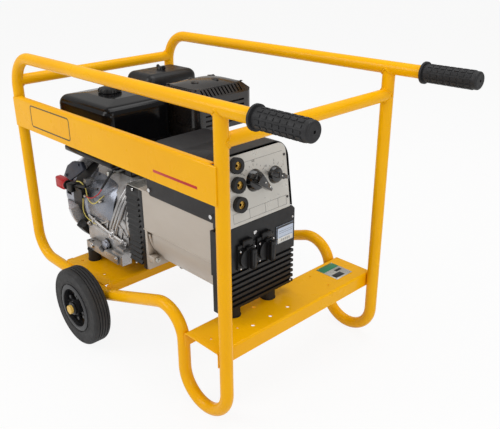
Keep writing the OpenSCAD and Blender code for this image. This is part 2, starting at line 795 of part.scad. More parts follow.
module muffler_cover() {
    color("black") difference() {
        shield_block(0);
        translate([0, 0, -1]) shield_block(shield_wall);
        for (i = [0:10]) translate([muffler_x + 34 + i * 9, muffler_y + 12, muffler_z + muffler_h - 12])
            rotate([45, 0, 0]) cube([4, 24, 10], center = true);
        for (i = [0:11]) translate([muffler_x + muffler_l - 12, muffler_y + 36 + i * 12, muffler_z + muffler_h - 12])
            rotate([0, 45, 0]) cube([24, 5, 10], center = true);
        for (i = [0:4]) translate([muffler_x + muffler_l - 5, muffler_y + 34, muffler_z + 14 + i * 13])
            cube([10, muffler_w - 68, 5]);
    }
}

// The engine switch on the fan cover's near side, with its red turn knob.
module stop_switch() {
    color("black") {
        translate([switch_x, switch_y - 14, switch_z - 16]) cube([34, 26, 34]);
        translate([switch_x + 33, plate_back_y - 22, switch_z + 12]) cube([52, 22, 28]);
        translate([switch_x + 84, plate_back_y - 3, switch_z + 12]) cube([34, 3, 22]);
    }
}

module stop_knob() {
    color("red") translate([switch_x - move_gap, switch_y, switch_z]) rotate([0, -90, 0]) {
        cylinder(h = 10, r = 13);
        translate([-15, -4, 9]) cube([30, 8, 14]);
    }
}

module oil_alert_unit() {
    color("black") translate([case_x - 20, plate_back_y - 17, shaft_z + 22]) cube([34, 17, 26]);
}

// A round lead of radius r swept along points p, with eight sides.
function lead_dir(p, i) = let (a = p[max(i - 1, 0)], b = p[min(i + 1, len(p) - 1)]) (b - a) / norm(b - a);
function lead_side(d) = let (s = cross(d, [0, 1, 0])) s / norm(s);
module lead(p, r) {
    n = 8;
    rings = [for (i = [0:len(p) - 1]) let (d = lead_dir(p, i), u = lead_side(d), v = cross(d, u))
        for (k = [0:n - 1]) p[i] + r * (cos(360 * k / n) * u + sin(360 * k / n) * v)];
    last = (len(p) - 1) * n;
    polyhedron(rings, concat([[for (k = [0:n - 1]) k]], [[for (k = [n - 1:-1:0]) last + k]],
        [for (i = [0:len(p) - 2], k = [0:n - 1])
            [i * n + k, (i + 1) * n + k, (i + 1) * n + (k + 1) % n, i * n + (k + 1) % n]]));
}

module engine_wires() {
    color("khaki") {
        for (w = [wire_a, wire_b])
            lead([for (q = w) [case_x, shaft_y, shaft_z] + q], wire_r);
    }
}

module oil_filler_cap() {
    near = shaft_y - 100;
    color("lightgray") {
        bar_y(drain_x, near - 8 - move_gap, drain_z, 8, filler_r + 4);
        bar_y(drain_x, near - 1 - move_gap, drain_z, 18, filler_r);
        translate([drain_x - 9, near - 14, drain_z - 2.5]) cube([18, 7, 5]);
    }
}

// The carburettor beside the head, with its levers on the recoil side.
module carburettor() {
    color("lightgray") {
        translate([carb_x, carb_y - 20, carb_top_z - 62]) rounded_block([46, 40, 62], 10);
        translate([carb_x + 23, carb_y, carb_top_z - 84]) cylinder(h = 30, r = 17);
        translate([cyl_x - port_x - seat_gap - 12, port_y - 18, port_z - 16]) cube([12, 52, 84]);
    }
}

module lever(x, y, z, l) {
    translate([x, y, z]) rotate([0, -90, 0]) {
        cylinder(h = 8, r = 6);
        translate([-3, 0, 3]) cube([6, l, 4]);
        translate([0, l, 1]) cylinder(h = 9, r = 6);
    }
}

module choke_lever() { color("gray") lever(carb_x - move_gap, carb_y + 8, carb_top_z - 20, 34); }
module fuel_lever() { color("gray") lever(carb_x - move_gap, carb_y + 8, carb_top_z - 48, 30); }
module throttle_lever() {
    color("gray") translate([case_x + 104, shaft_y - 20, shaft_z + 104 + move_gap]) {
        cylinder(h = 5, r = 10);
        translate([-4, -62, 1]) cube([8, 62, 3]);
        translate([0, -62, 0]) cylinder(h = 12, r = 6);
    }
}

// ---- Turning parts ----

module flywheel() {
    color("gray") difference() {
        union() {
            shaft_bar(fan_cover_x + 20, 34, fan_r - 26);
            for (a = [0:24:336]) translate([fan_cover_x + 12, shaft_y, shaft_z]) rotate([a, 0, 0])
                translate([0, -1.5, fan_r - 52]) cube([30, 3, 30]);
        }
        shaft_bar(fan_cover_x + 10, 60, journal_r + seat_gap);
    }
}

// The crankshaft: journals, two webs and the crankpin between them.
module crankshaft() {
    web_t = 14;
    pin_off = 32;
    x0 = fan_cover_x + 2;
    web_x = [cyl_x - chamber_l / 2 + 6, cyl_x + chamber_l / 2 - 6 - web_t];
    color("silver") {
        shaft_bar(x0, web_x[0] + web_t - x0, journal_r);
        shaft_bar(web_x[1], crank_end_x - web_x[1], journal_r);
        for (x = web_x) translate([x, shaft_y, shaft_z]) {
            translate([0, -24, -46]) cube([web_t, 48, 66]);
            translate([0, 0, pin_off - 6]) rotate([0, 90, 0]) cylinder(h = web_t, r = 22);
        }
        translate([web_x[0] + 6, shaft_y, shaft_z + pin_off - 6]) rotate([0, 90, 0])
            cylinder(h = web_x[1] - web_x[0], r = 16);
    }
}

// The rotor on its own shaft, driven by the crankshaft's end, with the cooling fan.
module rotor() {
    color("brown") {
        shaft_bar(crank_end_x + seat_gap, stator_end_x - 3 - crank_end_x, journal_r);
        shaft_bar(stator_x + 90, 120, rotor_r);
        shaft_bar(stator_x + 12, 6, 86);
        for (a = [0:30:330]) translate([stator_x + 16, shaft_y, shaft_z]) rotate([a, 0, 0])
            translate([0, -1.5, 40]) cube([22, 3, 44]);
    }
}

// ---- Alternator ----

// The square cover between engine and alternator, open around the coupling, louvred at its sides.
module adapter_cover() {
    half = box_half;
    inner = 92;
    louvres = 13;
    pitch = 15;
    pleat = 5;
    low = shaft_z - 102;
    color("black") difference() {
        union() {
            along_x(adapter_x + seat_gap, adapter_l - 2 * seat_gap) difference() {
                translate([shaft_y - half, low]) rounded_rect(2 * half, stator_top_z - 4 - low, 16);
                translate([shaft_y, shaft_z]) circle(inner);
            }
            for (i = [0:louvres - 1], s = [-1, 1])
                let (y = shaft_y + s * half, z = low + 10 + i * pitch)
                    along_x(adapter_x + 2, adapter_l - 4) polygon([[y - s * 6, z + 0.6], [y + s * pleat, z + 2],
                        [y + s * pleat, z + 3.5], [y - s * 1, z + pitch - 2.6], [y - s * 6, z + pitch - 2.6]]);
        }
        for (i = [0:louvres - 1], s = [-1, 1])
            translate([adapter_x + 12, shaft_y + s * half - 8, low + 8 + i * pitch])
                cube([adapter_l - 24, 16, 2]);
        for (s = [-1, 1]) translate([adapter_x - 16, shaft_y + s * (half + 10) - 10, shaft_z - 20])
            rotate([-90, 0, 0]) cylinder(h = 20, r = 30);
    }
}

// The alternator's cast housing: a barrel with flat upper sides, an end wall and a foot.
module stator_housing() {
    bore = barrel_r - 9;
    wall = 10;
    color("lightgray") difference() {
        union() {
            shaft_bar(stator_x, stator_l, barrel_r - 3);
            along_x(stator_x, stator_l) translate([shaft_y - box_half, ledge_z])
                square([2 * box_half, stator_top_z - ledge_z]);
            shaft_bar(stator_x, 12, barrel_r);
            shaft_bar(stator_end_x - 14, 14, barrel_r);
            translate([stator_end_x - 30, generator_mount_y[0] - 22, foot_plate_z])
                cube([50, generator_mount_y[1] - generator_mount_y[0] + 44, 8]);
            translate([stator_end_x - 14, shaft_y - 70, foot_plate_z]) cube([14, 140, 50]);
        }
        shaft_bar(stator_x - 1, stator_l - wall + 1, bore);
        shaft_bar(stator_x, stator_l + 1, journal_r + run_gap);
        for (y = generator_mount_y) translate([generator_mount_x, y, foot_plate_z - 1])
            cylinder(h = 11, r = mount_bolt_r + 0.5);
    }
}

module stator_core() {
    bore = barrel_r - 9;
    color("dimgray") difference() {
        shaft_bar(stator_x + 84, 132, bore - seat_gap);
        shaft_bar(stator_x + 80, 140, rotor_r + air_gap);
    }
}

// The moulded end cover: a flat upper part for the outlets and seven louvre ribs below it.
module end_cover() {
    left = shaft_y - end_w / 2;
    flat_z = shaft_z - 6;
    ribs = 7;
    rib_pitch = (flat_z - end_z) / ribs;
    front = end_x + end_t;
    cut = 9;
    color("black") difference() {
        union() {
            along_x(end_x + seat_gap, end_t - seat_gap) polygon([
                [left, flat_z], [left + end_w, flat_z], [left + end_w, end_top_z - cut],
                [left + end_w - cut, end_top_z], [left, end_top_z]]);
            translate([end_x + seat_gap, left + 4, end_z]) cube([end_t - 6, end_w - 8, flat_z - end_z + 1]);
            for (i = [0:ribs - 1]) translate([front - 8, left + 1, end_z + i * rib_pitch])
                cube([8, end_w - 2, rib_pitch * 0.5]);
        }
        translate([end_x - 1, left + 8, end_z - 1]) cube([end_t - 9, end_w - 16, flat_z - end_z]);
        translate([end_x - 1, left + 8, flat_z - 2]) cube([end_t - 9, end_w - 16, end_top_z - flat_z - 12]);
        for (y = outlet_y) translate([front - 12, y, outlet_z]) rotate([0, 90, 0])
            cylinder(h = 14, r = outlet_r - 4);
        translate([front - 3, meter_y, meter_z]) cube([4, meter_w, meter_h]);
    }
}

// ---- Control box ----

// A run of the box: upright sides and round upper corners, its top edge starting at [x, z].
module box_run(x, z, l, tilt, inset) {
    w = 2 * (box_half + seat_gap + box_wall - inset);
    r = box_r - inset;
    deep = 260;
    translate([x, shaft_y, z]) rotate([0, -tilt, 0]) along_x(0, l) translate([-w / 2, -deep]) {
        square([w, deep - inset - r]);
        translate([r, 0]) square([w - 2 * r, deep - inset]);
        for (y = [r, w - r]) translate([y, deep - inset - r]) circle(r);
    }
}

// The box's body: low at the rear, then a ramp up to the height of the panel.
module box_body(inset) {
    box_run(box_x + inset, box_low_z, panel_x - box_x, 0, inset);
    intersection() {
        box_run(ramp_x - 20, box_low_z - 20 * tan(ramp), 260, ramp, inset);
        box_run(ramp_x - 40, box_top_z, 260, 0, inset);
    }
}

// The folded steel cover of the control box, its sides screwed to the alternator's.
module control_box() {
    color("dimgray") difference() {
        box_body(0);
        box_body(box_wall);
        on_panel() translate([-seat_gap, -300, -100]) cube([200, 600, 400]);
        translate([box_x - 20, -300, 0]) cube([stator_end_x + seat_gap - box_x + 20, 600, box_skirt_z]);
        translate([box_x - 20, -300, 0]) cube([400, 600, panel_z]);
        translate([box_x - 1, shaft_y - box_half - seat_gap, 0])
            cube([box_wall + 2, 2 * (box_half + seat_gap), stator_top_z + seat_gap]);
        for (s = [-1, 1]) translate([box_x, shaft_y + s * box_half, box_skirt_z]) rotate([0, 45, 0])
            cube([14, 20, 14], center = true);
    }
}

// Puts children on the leaning panel: X out of it, Z up along it, Y as it is.
module on_panel() { translate([panel_x, 0, panel_z]) rotate([0, -panel_lean, 0]) children(); }

module control_panel() {
    h = panel_h / cos(panel_lean);
    color("whitesmoke") on_panel() difference() {
        along_x(0, panel_t) {
            translate([shaft_y - panel_w / 2, 0]) square([panel_w, h - panel_r]);
            translate([shaft_y - panel_w / 2 + panel_r, 0]) square([panel_w - 2 * panel_r, h]);
            for (s = [-1, 1]) translate([shaft_y + s * (panel_w / 2 - panel_r), h - panel_r]) circle(panel_r);
        }
        for (z = socket_h) translate([-1, socket_y, z]) rotate([0, 90, 0])
            cylinder(h = panel_t + 2, r = weld_socket_d / 2 - 4);
        for (y = knob_y) translate([-1, y, knob_h]) rotate([0, 90, 0]) cylinder(h = panel_t + 2, r = 5);
    }
}

// Three welding sockets: an insulating body with a brass insert.
module weld_sockets() {
    color("black") on_panel() for (z = socket_h) translate([0, socket_y, z]) rotate([0, 90, 0]) difference() {
        union() {
            translate([0, 0, panel_t + seat_gap]) cylinder(h = 12, r = weld_socket_d / 2);
            translate([0, 0, -20]) cylinder(h = 24, r = weld_socket_d / 2 - 4 - seat_gap);
        }
        translate([0, 0, -21]) cylinder(h = 50, r = weld_bore_d / 2 + 3);
    }
}

module socket_inserts() {
    color("goldenrod") on_panel() for (z = socket_h) translate([0, socket_y, z]) rotate([0, 90, 0])
        difference() {
            translate([0, 0, -24]) cylinder(h = 34, r = weld_bore_d / 2 + 3 - seat_gap);
            translate([0, 0, -16]) cylinder(h = 30, r = weld_bore_d / 2);
        }
}

// A selector knob: a disc with a raised bar grip and its spindle through the panel.
module selector(y, r) {
    color("black") on_panel() translate([panel_t + move_gap, y, knob_h]) rotate([0, 90, 0]) {
        cylinder(h = 7, r = r);
        translate([-4, -r * 1.25, 5]) cube([8, r * 2.1, 13]);
        translate([0, 0, -12]) cylinder(h = 13, r = 4.5);
    }
}

module current_knob() { selector(knob_y[0], 21); }
module range_knob() { selector(knob_y[1], 17); }

// Two mains outlets with sprung round lids hinged at the top.
module outlet_bodies() {
    color("black") for (y = outlet_y) translate([end_x + end_t + seat_gap, y, outlet_z]) difference() {
        union() {
            translate([0, -27, -27]) cube([5, 54, 54]);
            rotate([0, 90, 0]) cylinder(h = 9, r = outlet_r);
            translate([-7, 0, 0]) rotate([0, 90, 0]) cylinder(h = 8, r = outlet_r - 4 - seat_gap);
        }
        translate([-5, 0, 0]) rotate([0, 90, 0]) cylinder(h = 16, r = outlet_r - 7);
    }
}

module outlet_lid(y) {
    color("black") translate([end_x + end_t + 9 + seat_gap + move_gap, y, outlet_z]) {
        rotate([0, 90, 0]) cylinder(h = 4, r = outlet_r);
        translate([3, -5, -outlet_r - 2]) cube([5, 10, 2 * outlet_r + 2]);
        translate([3, -9, outlet_r - 2]) cube([5, 18, 6]);
    }
}

module left_outlet_lid() { outlet_lid(outlet_y[0]); }
module right_outlet_lid() { outlet_lid(outlet_y[1]); }

module hour_meter() {
    color("lightblue") translate([end_x + end_t - 3 + seat_gap, meter_y + seat_gap, meter_z + seat_gap])
        cube([5, meter_w - 2 * seat_gap, meter_h - 2 * seat_gap]);
}

// Screw heads on the cover strip and the end cover.
module fasteners() {
    color("silver") {
        for (x = [box_x + 10, stator_end_x - 4])
            translate([x, shaft_y - box_half - box_wall - 2 * seat_gap, box_skirt_z + 15]) rotate([90, 0, 0])
                cylinder(h = 4, r = 5);
    }
}

left_side_loop();
right_side_loop();
rear_cross_tube();
front_cross_tube();
side_plate();
rear_deck();
front_deck();
axle_brackets();
axle_stubs();
left_tyre();
right_tyre();
left_rim();
right_rim();
hub_caps();
left_grip();
right_grip();
rubber_mounts();
crankcase();
crankcase_cover();
cylinder_block();
cylinder_head();
rocker_cover();
fan_cover();
recoil_cover();
recoil_handle();
fuel_tank();
tank_stays();
fuel_cap();
air_cleaner_base();
air_cleaner_cover();
air_cleaner_knob();
muffler();
muffler_cover();
stop_switch();
stop_knob();
oil_alert_unit();
oil_filler_cap();
carburettor();
choke_lever();
fuel_lever();
throttle_lever();
flywheel();
crankshaft();
engine_wires();
adapter_cover();
stator_housing();
stator_core();
rotor();
end_cover();
control_box();
control_panel();
weld_sockets();
socket_inserts();
current_knob();
range_knob();
outlet_bodies();
left_outlet_lid();
right_outlet_lid();
hour_meter();
fasteners();
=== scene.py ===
# %% [markdown]
# # Engine driven welder on a wheeled frame
# A petrol engine drives an alternator, and both hang in a bent tube frame with two wheels and two
# handles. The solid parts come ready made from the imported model. This lesson gives them their
# finishes, and adds the small things that a finish can't give: weld beads, screws, dial marks,
# trim, cast webs and the printed scales.

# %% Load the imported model
import bpy
import bmesh
import json
import math
from mathutils import Matrix, Vector


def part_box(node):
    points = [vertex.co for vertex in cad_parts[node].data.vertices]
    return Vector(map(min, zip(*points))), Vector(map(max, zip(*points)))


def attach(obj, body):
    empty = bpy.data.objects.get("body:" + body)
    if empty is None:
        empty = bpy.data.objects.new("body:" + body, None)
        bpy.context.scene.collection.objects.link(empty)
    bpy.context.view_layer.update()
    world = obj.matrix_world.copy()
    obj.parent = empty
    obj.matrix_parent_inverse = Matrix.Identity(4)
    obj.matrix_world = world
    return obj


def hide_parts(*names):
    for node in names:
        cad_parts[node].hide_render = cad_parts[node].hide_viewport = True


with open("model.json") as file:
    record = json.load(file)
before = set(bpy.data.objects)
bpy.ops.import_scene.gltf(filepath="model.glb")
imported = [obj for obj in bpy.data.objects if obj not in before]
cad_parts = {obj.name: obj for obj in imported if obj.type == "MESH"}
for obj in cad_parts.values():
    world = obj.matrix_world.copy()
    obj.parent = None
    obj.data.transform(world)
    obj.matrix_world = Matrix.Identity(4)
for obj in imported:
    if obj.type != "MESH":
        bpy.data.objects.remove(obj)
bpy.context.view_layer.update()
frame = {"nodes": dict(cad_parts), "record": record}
nodes = frame["nodes"]
scene = bpy.context.scene

# %% [markdown]
# ## The camera
# A catalogue view stands at about the height of a person's chest, off the panel end. The camera
# is turned about Z, tipped down, and rolled by a degree about its own axis, so three rotations are
# multiplied in that order. The lens is a long normal one, and a small sideways shift frames the
# machine without turning the camera, which would change the perspective.

# %% Camera
CAMERA_AT = (1.1921, -1.0366, 1.0287)
AZIMUTH, ELEVATION, ROLL = 48.332, 23.366, -1.246
camera_data = bpy.data.cameras.new("camera")
camera_data.sensor_width = 36.0
camera_data.lens = 46.94
camera_data.shift_x = 0.05
camera = bpy.data.objects.new("camera", camera_data)
camera.matrix_world = (
    Matrix.Translation(CAMERA_AT)
    @ Matrix.Rotation(math.radians(AZIMUTH), 4, "Z")
    @ Matrix.Rotation(math.radians(90 - ELEVATION), 4, "X")
    @ Matrix.Rotation(math.radians(ROLL), 4, "Z")
)
scene.collection.objects.link(camera)
scene.camera = camera
print("camera at", CAMERA_AT)

# %% [markdown]
# ## Shader nodes in short
# Every node tree below is built the same way: make a node, set its choices, and give each input
# either a constant or the output of another node. Two small functions do that.

# %% Shader node helpers
def plug(tree, node, inputs):
    """Sets inputs to constants, or links them where the value is another node's output."""
    for key, value in inputs.items():
        if isinstance(value, bpy.types.NodeSocket):
            tree.links.new(value, node.inputs[key])
        else:
            node.inputs[key].default_value = value


def add_node(tree, kind, inputs=None, **choices):
    node = tree.nodes.new("ShaderNode" + kind)
    for key, value in choices.items():
        setattr(node, key, value)
    plug(tree, node, inputs or {})
    return node


def empty_tree(owner):
    owner.use_nodes = True
    owner.node_tree.nodes.clear()
    return owner.node_tree


def either(tree, a, b):
    """The larger of two outputs, which is a logical or for outputs of 0 and 1."""
    return add_node(tree, "Math", {0: a, 1: b}, operation="MAXIMUM").outputs[0]


def seen_ray(tree):
    """The Light Path node, with an output of 1 for camera and transmission rays, else 0."""
    path = add_node(tree, "LightPath")
    return path, either(tree, path.outputs["Is Camera Ray"], path.outputs["Is Transmission Ray"])


print("node helpers ready")

# %% [markdown]
# ## Studio light
# A white studio has light from all round, so the world is a pale grey that lights evenly, and large
# soft lamps add shape: one over the near side, one ahead of the panel, and one high up. Only the
# camera, and what it sees through glass, gets the world as pure white, which Light Path sorts out.

# %% World and lamps
scene.view_settings.view_transform = "Standard"
WORLD_LEVEL = 0.52
WARM_WHITE, WHITE = (1.0, 0.985, 0.965, 1), (1, 1, 1, 1)
world = bpy.data.worlds.new("studio")
scene.world = world
tree = empty_tree(world)
soft = add_node(tree, "Background", {"Color": WARM_WHITE, "Strength": WORLD_LEVEL})
white = add_node(tree, "Background", {"Color": WHITE, "Strength": 1.0})
path, direct = seen_ray(tree)
mix = add_node(tree, "MixShader", {0: direct, 1: soft.outputs[0], 2: white.outputs[0]})
add_node(tree, "OutputWorld", {"Surface": mix.outputs[0]})


def lamp(name, at, size, power):
    """A square lamp that faces the machine's middle."""
    data = bpy.data.lights.new(name, "AREA")
    data.size = size
    data.energy = power
    obj = bpy.data.objects.new(name, data)
    obj.location = at
    obj.rotation_mode = "QUATERNION"
    obj.rotation_quaternion = (Vector(MIDDLE) - Vector(at)).to_track_quat("-Z", "Y")
    scene.collection.objects.link(obj)


MIDDLE = (0.0, 0.0, 0.35)
lamp("near_softbox", (-1.6, -2.7, 2.3), 2.0, 46)
lamp("panel_softbox", (3.2, -0.9, 1.7), 1.6, 28)
lamp("top_softbox", (0.2, 0.6, 3.4), 2.4, 48)

# %% [markdown]
# ## The floor
# The floor is one large plane, a hair below zero. It mixes a plain white paint with a little glow
# that only the camera and mirrors see, so the far floor is white and the shadow under the machine
# stays.

# %% Floor
FLOOR_HALF, FLOOR_Z, GLOW_SHARE = 40.0, -0.0005, 0.9
bm = bmesh.new()
bmesh.ops.create_grid(bm, x_segments=1, y_segments=1, size=FLOOR_HALF)
mesh = bpy.data.meshes.new("floor")
bm.to_mesh(mesh)
bm.free()
floor = bpy.data.objects.new("floor", mesh)
floor.location.z = FLOOR_Z
scene.collection.objects.link(floor)
paint = bpy.data.materials.new("floor_white")
tree = empty_tree(paint)
dull = add_node(tree, "BsdfDiffuse", {"Color": (0.8, 0.8, 0.8, 1)})
glow = add_node(tree, "Emission", {"Color": WHITE})
path, direct = seen_ray(tree)
share = add_node(tree, "Math", {0: either(tree, direct, path.outputs["Is Glossy Ray"]),
                                1: GLOW_SHARE}, operation="MULTIPLY")
mix = add_node(tree, "MixShader", {0: share.outputs[0], 1: dull.outputs[0], 2: glow.outputs[0]})
add_node(tree, "OutputMaterial", {"Surface": mix.outputs[0]})
floor.data.materials.append(paint)
print("floor laid")

# %% [markdown]
# ## One recipe for every finish
# Paint, rubber and cast metal differ in a few numbers: two close colours that drift into each
# other, how shiny the surface is and how much that varies, how coarse its skin is, how much dirt
# speckles it, and how dark the painted shade in its corners is. So one function builds the node
# tree from those numbers, and keeps the material by its name. All patterns read Object
# coordinates, which are metres here, and stay put when the machine turns.

# %% Finish recipe
# How far ambient occlusion looks for crevices to darken as painted shade, in metres.
CREVICE_SHADE_REACH = 0.018
GRAIN_DEPTH = 0.0004
finishes = {}


def paint_of(rgb):
    """A colour given as 0 to 255 on screen, as the linear value that a shader wants."""
    lin = [((c / 255 + 0.055) / 1.055) ** 2.4 if c > 10 else c / 255 / 12.92 for c in rgb]
    return (*lin, 1.0)


def noise(tree, where, scale, detail=3.0, rough=0.55):
    return add_node(tree, "TexNoise", {"Scale": scale, "Detail": detail, "Roughness": rough,
                                       "Vector": where}).outputs["Fac"]


def ramp(tree, fac, low, high, low_rgb=(0, 0, 0), high_rgb=(255, 255, 255)):
    node = add_node(tree, "ValToRGB", {"Fac": fac})
    for i, (position, rgb) in enumerate(((low, low_rgb), (high, high_rgb))):
        node.color_ramp.elements[i].position = position
        node.color_ramp.elements[i].color = paint_of(rgb)
    return node.outputs["Color"]


def blend_colour(tree, fac, a, rgb):
    """Colour a where fac is 0, and the fixed colour where it is 1."""
    return add_node(tree, "Mix", {"Factor": fac, "A": a, "B": paint_of(rgb)},
                    data_type="RGBA").outputs["Result"]


def spread(tree, fac, low, high):
    """Noise seldom leaves 0.3 to 0.7, so that range is drawn out from low to high."""
    return add_node(tree, "MapRange", {"From Min": 0.3, "From Max": 0.7, "To Min": low,
                                       "To Max": high, "Value": fac}).outputs["Result"]


def finish(name, base, tone, rough, metal=0.0, cloud=7.0, grain=500.0, bump=0.05,
           stretch=(1, 1, 1), dirt=None, dirt_level=0.62, corner=None, coat=0.0, lumps=None,
           gloss=0.35):
    """One material. base and tone drift into each other; rough is (least, most); corner is the
    colour of painted shade in crevices.
    """
    material = bpy.data.materials.new(name)
    material.use_nodes = True
    tree = material.node_tree
    coords = add_node(tree, "TexCoord").outputs["Object"]
    where = add_node(tree, "Mapping", {"Scale": stretch, "Vector": coords}).outputs["Vector"]
    colour = ramp(tree, noise(tree, where, cloud, 5.0), 0.36, 0.66, base, tone)
    roughness = spread(tree, noise(tree, where, cloud * 4.3, 4.0), *rough)
    if dirt:
        specks = ramp(tree, noise(tree, where, cloud * 9.0, 8.0, 0.7), dirt_level, dirt_level + 0.1)
        colour = blend_colour(tree, specks, colour, dirt)
    # Painted shade: where ambient occlusion finds a crevice, the colour is pulled towards the
    # corner colour.
    if corner:
        shade = add_node(tree, "AmbientOcclusion", {"Distance": CREVICE_SHADE_REACH}, samples=6)
        deep = ramp(tree, shade.outputs["AO"], 0.25, 0.8, (255, 255, 255), (0, 0, 0))
        colour = blend_colour(tree, deep, colour, corner)
    normal = add_node(tree, "Bump", {
        "Strength": min(1.0, bump * 4), "Distance": GRAIN_DEPTH,
        "Height": noise(tree, where, grain, 2.0)}).outputs["Normal"]
    if lumps:
        scale, depth = lumps
        normal = add_node(tree, "Bump", {
            "Strength": 0.6, "Distance": depth, "Height": noise(tree, where, scale, 2.0),
            "Normal": normal}).outputs["Normal"]
    plug(tree, tree.nodes["Principled BSDF"], {
        "Metallic": metal, "Specular IOR Level": gloss, "Coat Weight": coat,
        "Coat Roughness": 0.08, "Base Color": colour, "Roughness": roughness, "Normal": normal})
    finishes[name] = material


print("finish recipe ready")

# %% [markdown]
# ## The finishes
# The frame is powder coated: an even, warm yellow with a faint orange-peel ripple and a clear
# skin. Castings are bare aluminium with a sandy skin and painted shade in their corners. The sheet
# shields are satin black, the tank gloss black, and plastics sit between.

# %% Finishes
# Each corner colour below is painted shade, darkening the crevices that ambient occlusion finds.
finish("frame_paint", (246, 181, 6), (242, 174, 4), (0.24, 0.36), cloud=5, grain=260, bump=0.03,
       gloss=0.09, coat=0.12, lumps=(90, 0.0004), dirt=(216, 156, 20), dirt_level=0.8)
finish("tyre_rubber", (38, 38, 39), (48, 47, 47), (0.55, 0.75), cloud=14, grain=700, bump=0.12,
       dirt=(96, 92, 86), dirt_level=0.66)
finish("rim_plastic", (36, 36, 38), (46, 46, 49), (0.28, 0.42), grain=900)
finish("cap_plastic", (226, 184, 86), (234, 200, 116), (0.3, 0.42), grain=800)
finish("grip_rubber", (26, 26, 28), (38, 38, 40), (0.5, 0.68), cloud=20, grain=900, bump=0.1)
finish("mount_rubber", (22, 22, 24), (34, 34, 35), (0.45, 0.65), cloud=20, grain=900, bump=0.08)
finish("cast_aluminium", (186, 185, 184), (156, 155, 156), (0.24, 0.4), metal=0.72, cloud=14,
       grain=620, bump=0.12, corner=(84, 80, 74), dirt=(150, 142, 126), dirt_level=0.76,
       lumps=(40, 0.0005))
finish("housing_aluminium", (194, 186, 176), (184, 175, 164), (0.36, 0.52), metal=0.25, cloud=9,
       grain=520, bump=0.08, stretch=(0.35, 1, 1), dirt=(166, 154, 138), dirt_level=0.68,
       corner=(112, 98, 80))
finish("black_paint", (22, 22, 24), (32, 32, 34), (0.3, 0.45), cloud=12, grain=600, bump=0.06,
       dirt=(70, 68, 64), dirt_level=0.7)
finish("silver_paint", (160, 163, 172), (134, 138, 150), (0.2, 0.34), metal=0.6, cloud=12,
       grain=700, bump=0.04, coat=0.2, corner=(62, 60, 58))
finish("tank_paint", (9, 9, 11), (14, 14, 16), (0.1, 0.18), cloud=8, grain=180, bump=0.02,
       coat=0.12, gloss=0.14)
finish("box_paint", (26, 25, 26), (33, 31, 32), (0.36, 0.48), cloud=7, grain=420, bump=0.07,
       lumps=(160, 0.0003))
finish("panel_paint", (198, 196, 190), (190, 188, 182), (0.26, 0.36), metal=0.3, cloud=8,
       grain=700, bump=0.03)
finish("black_plastic", (15, 15, 17), (23, 23, 25), (0.3, 0.46), cloud=16, grain=900, bump=0.06)
finish("red_plastic", (196, 34, 40), (176, 26, 34), (0.3, 0.42), cloud=20, grain=900, bump=0.04)
finish("meter_face", (186, 200, 222), (200, 210, 226), (0.2, 0.3), cloud=30, grain=700, bump=0.02)
finish("dark_steel", (86, 84, 84), (66, 64, 66), (0.35, 0.5), metal=0.8, cloud=30, grain=700,
       bump=0.08)
finish("zinc_steel", (206, 204, 196), (186, 184, 178), (0.25, 0.4), metal=0.85, cloud=40,
       grain=800, bump=0.06, corner=(70, 66, 60))
finish("bright_steel", (216, 216, 216), (198, 198, 200), (0.16, 0.28), metal=0.95, cloud=40,
       grain=900, bump=0.04)
finish("cast_iron", (84, 80, 78), (66, 63, 62), (0.5, 0.7), metal=0.6, cloud=24, grain=500,
       bump=0.2)
finish("brass", (240, 196, 98), (222, 174, 74), (0.2, 0.34), metal=0.75, cloud=60, grain=900,
       bump=0.04, corner=(80, 50, 20))
finish("wire_sheath", (214, 200, 110), (200, 184, 92), (0.4, 0.5), cloud=60, grain=900, bump=0.04)
print("finishes:", len(finishes))

# %% [markdown]
# ## Which node wears what
# The record names a material slot for each node. Reading it from there keeps the scene and the
# record in step, so each node's Blender material is looked up by that slot.

# %% Dress the nodes
slot_of = {row["node"]: row["material_slot"] for row in frame["record"]["subparts"]}


def dress(node, material):
    slots = nodes[node].data.materials
    slots.clear()
    slots.append(material)


for node, slot_name in slot_of.items():
    dress(node, finishes[slot_name])
print("dressed:", len(slot_of))

# %% [markdown]
# ## Helpers for new pieces
# New pieces are drawn in millimetres and come out in metres. These helpers read where a node is,
# and turn a finished bmesh into an object that rides on a body.

# %% Placing helpers
MM, MERGE, WASHER = 0.001, 1e-6, 0.9


def at_mm(*mm):
    return Vector(mm) * MM


def facing(axis):
    """A rotation that turns +Z to the axis."""
    return Vector(axis).to_track_quat("Z", "Y").to_matrix().to_4x4()


def box_mm(node):
    """A node's lowest and highest corner."""
    low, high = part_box(node)
    return [c * 1000 for c in low], [c * 1000 for c in high]


def middle(node):
    return [(a + b) / 2 for a, b in zip(*box_mm(node))]


def place_piece(name, mesh, body):
    """An object for a finished mesh, which rides on a body and wears its mesh's material."""
    piece = bpy.data.objects.new(name, mesh)
    scene.collection.objects.link(piece)
    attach(piece, body)
    print(name, len(mesh.polygons), "faces")
    return piece


def add_piece(name, bm, material, body="machine", sharp=38):
    """A piece of one bmesh, in the finish named by material."""
    bmesh.ops.remove_doubles(bm, verts=bm.verts, dist=MERGE)
    bmesh.ops.recalc_face_normals(bm, faces=bm.faces)
    mesh = bpy.data.meshes.new(name)
    bm.to_mesh(mesh)
    bm.free()
    mesh.shade_smooth()
    mesh.set_sharp_from_angle(angle=math.radians(sharp))
    mesh.materials.append(finishes[material])
    return place_piece(name, mesh, body)


print("placing helpers ready")

# %% [markdown]
# ## Helpers for shapes
# Small parts repeat: rounded blocks, turned parts, beads that follow a line, and screws. Each
# helper starts from a bmesh create operator and shapes it with bevel, spin or bridge_loops, so
# edges catch the light as real ones do.

# %% Shape helpers
def once(items):
    """Each item once, in the order they come."""
    return list(dict.fromkeys(items))


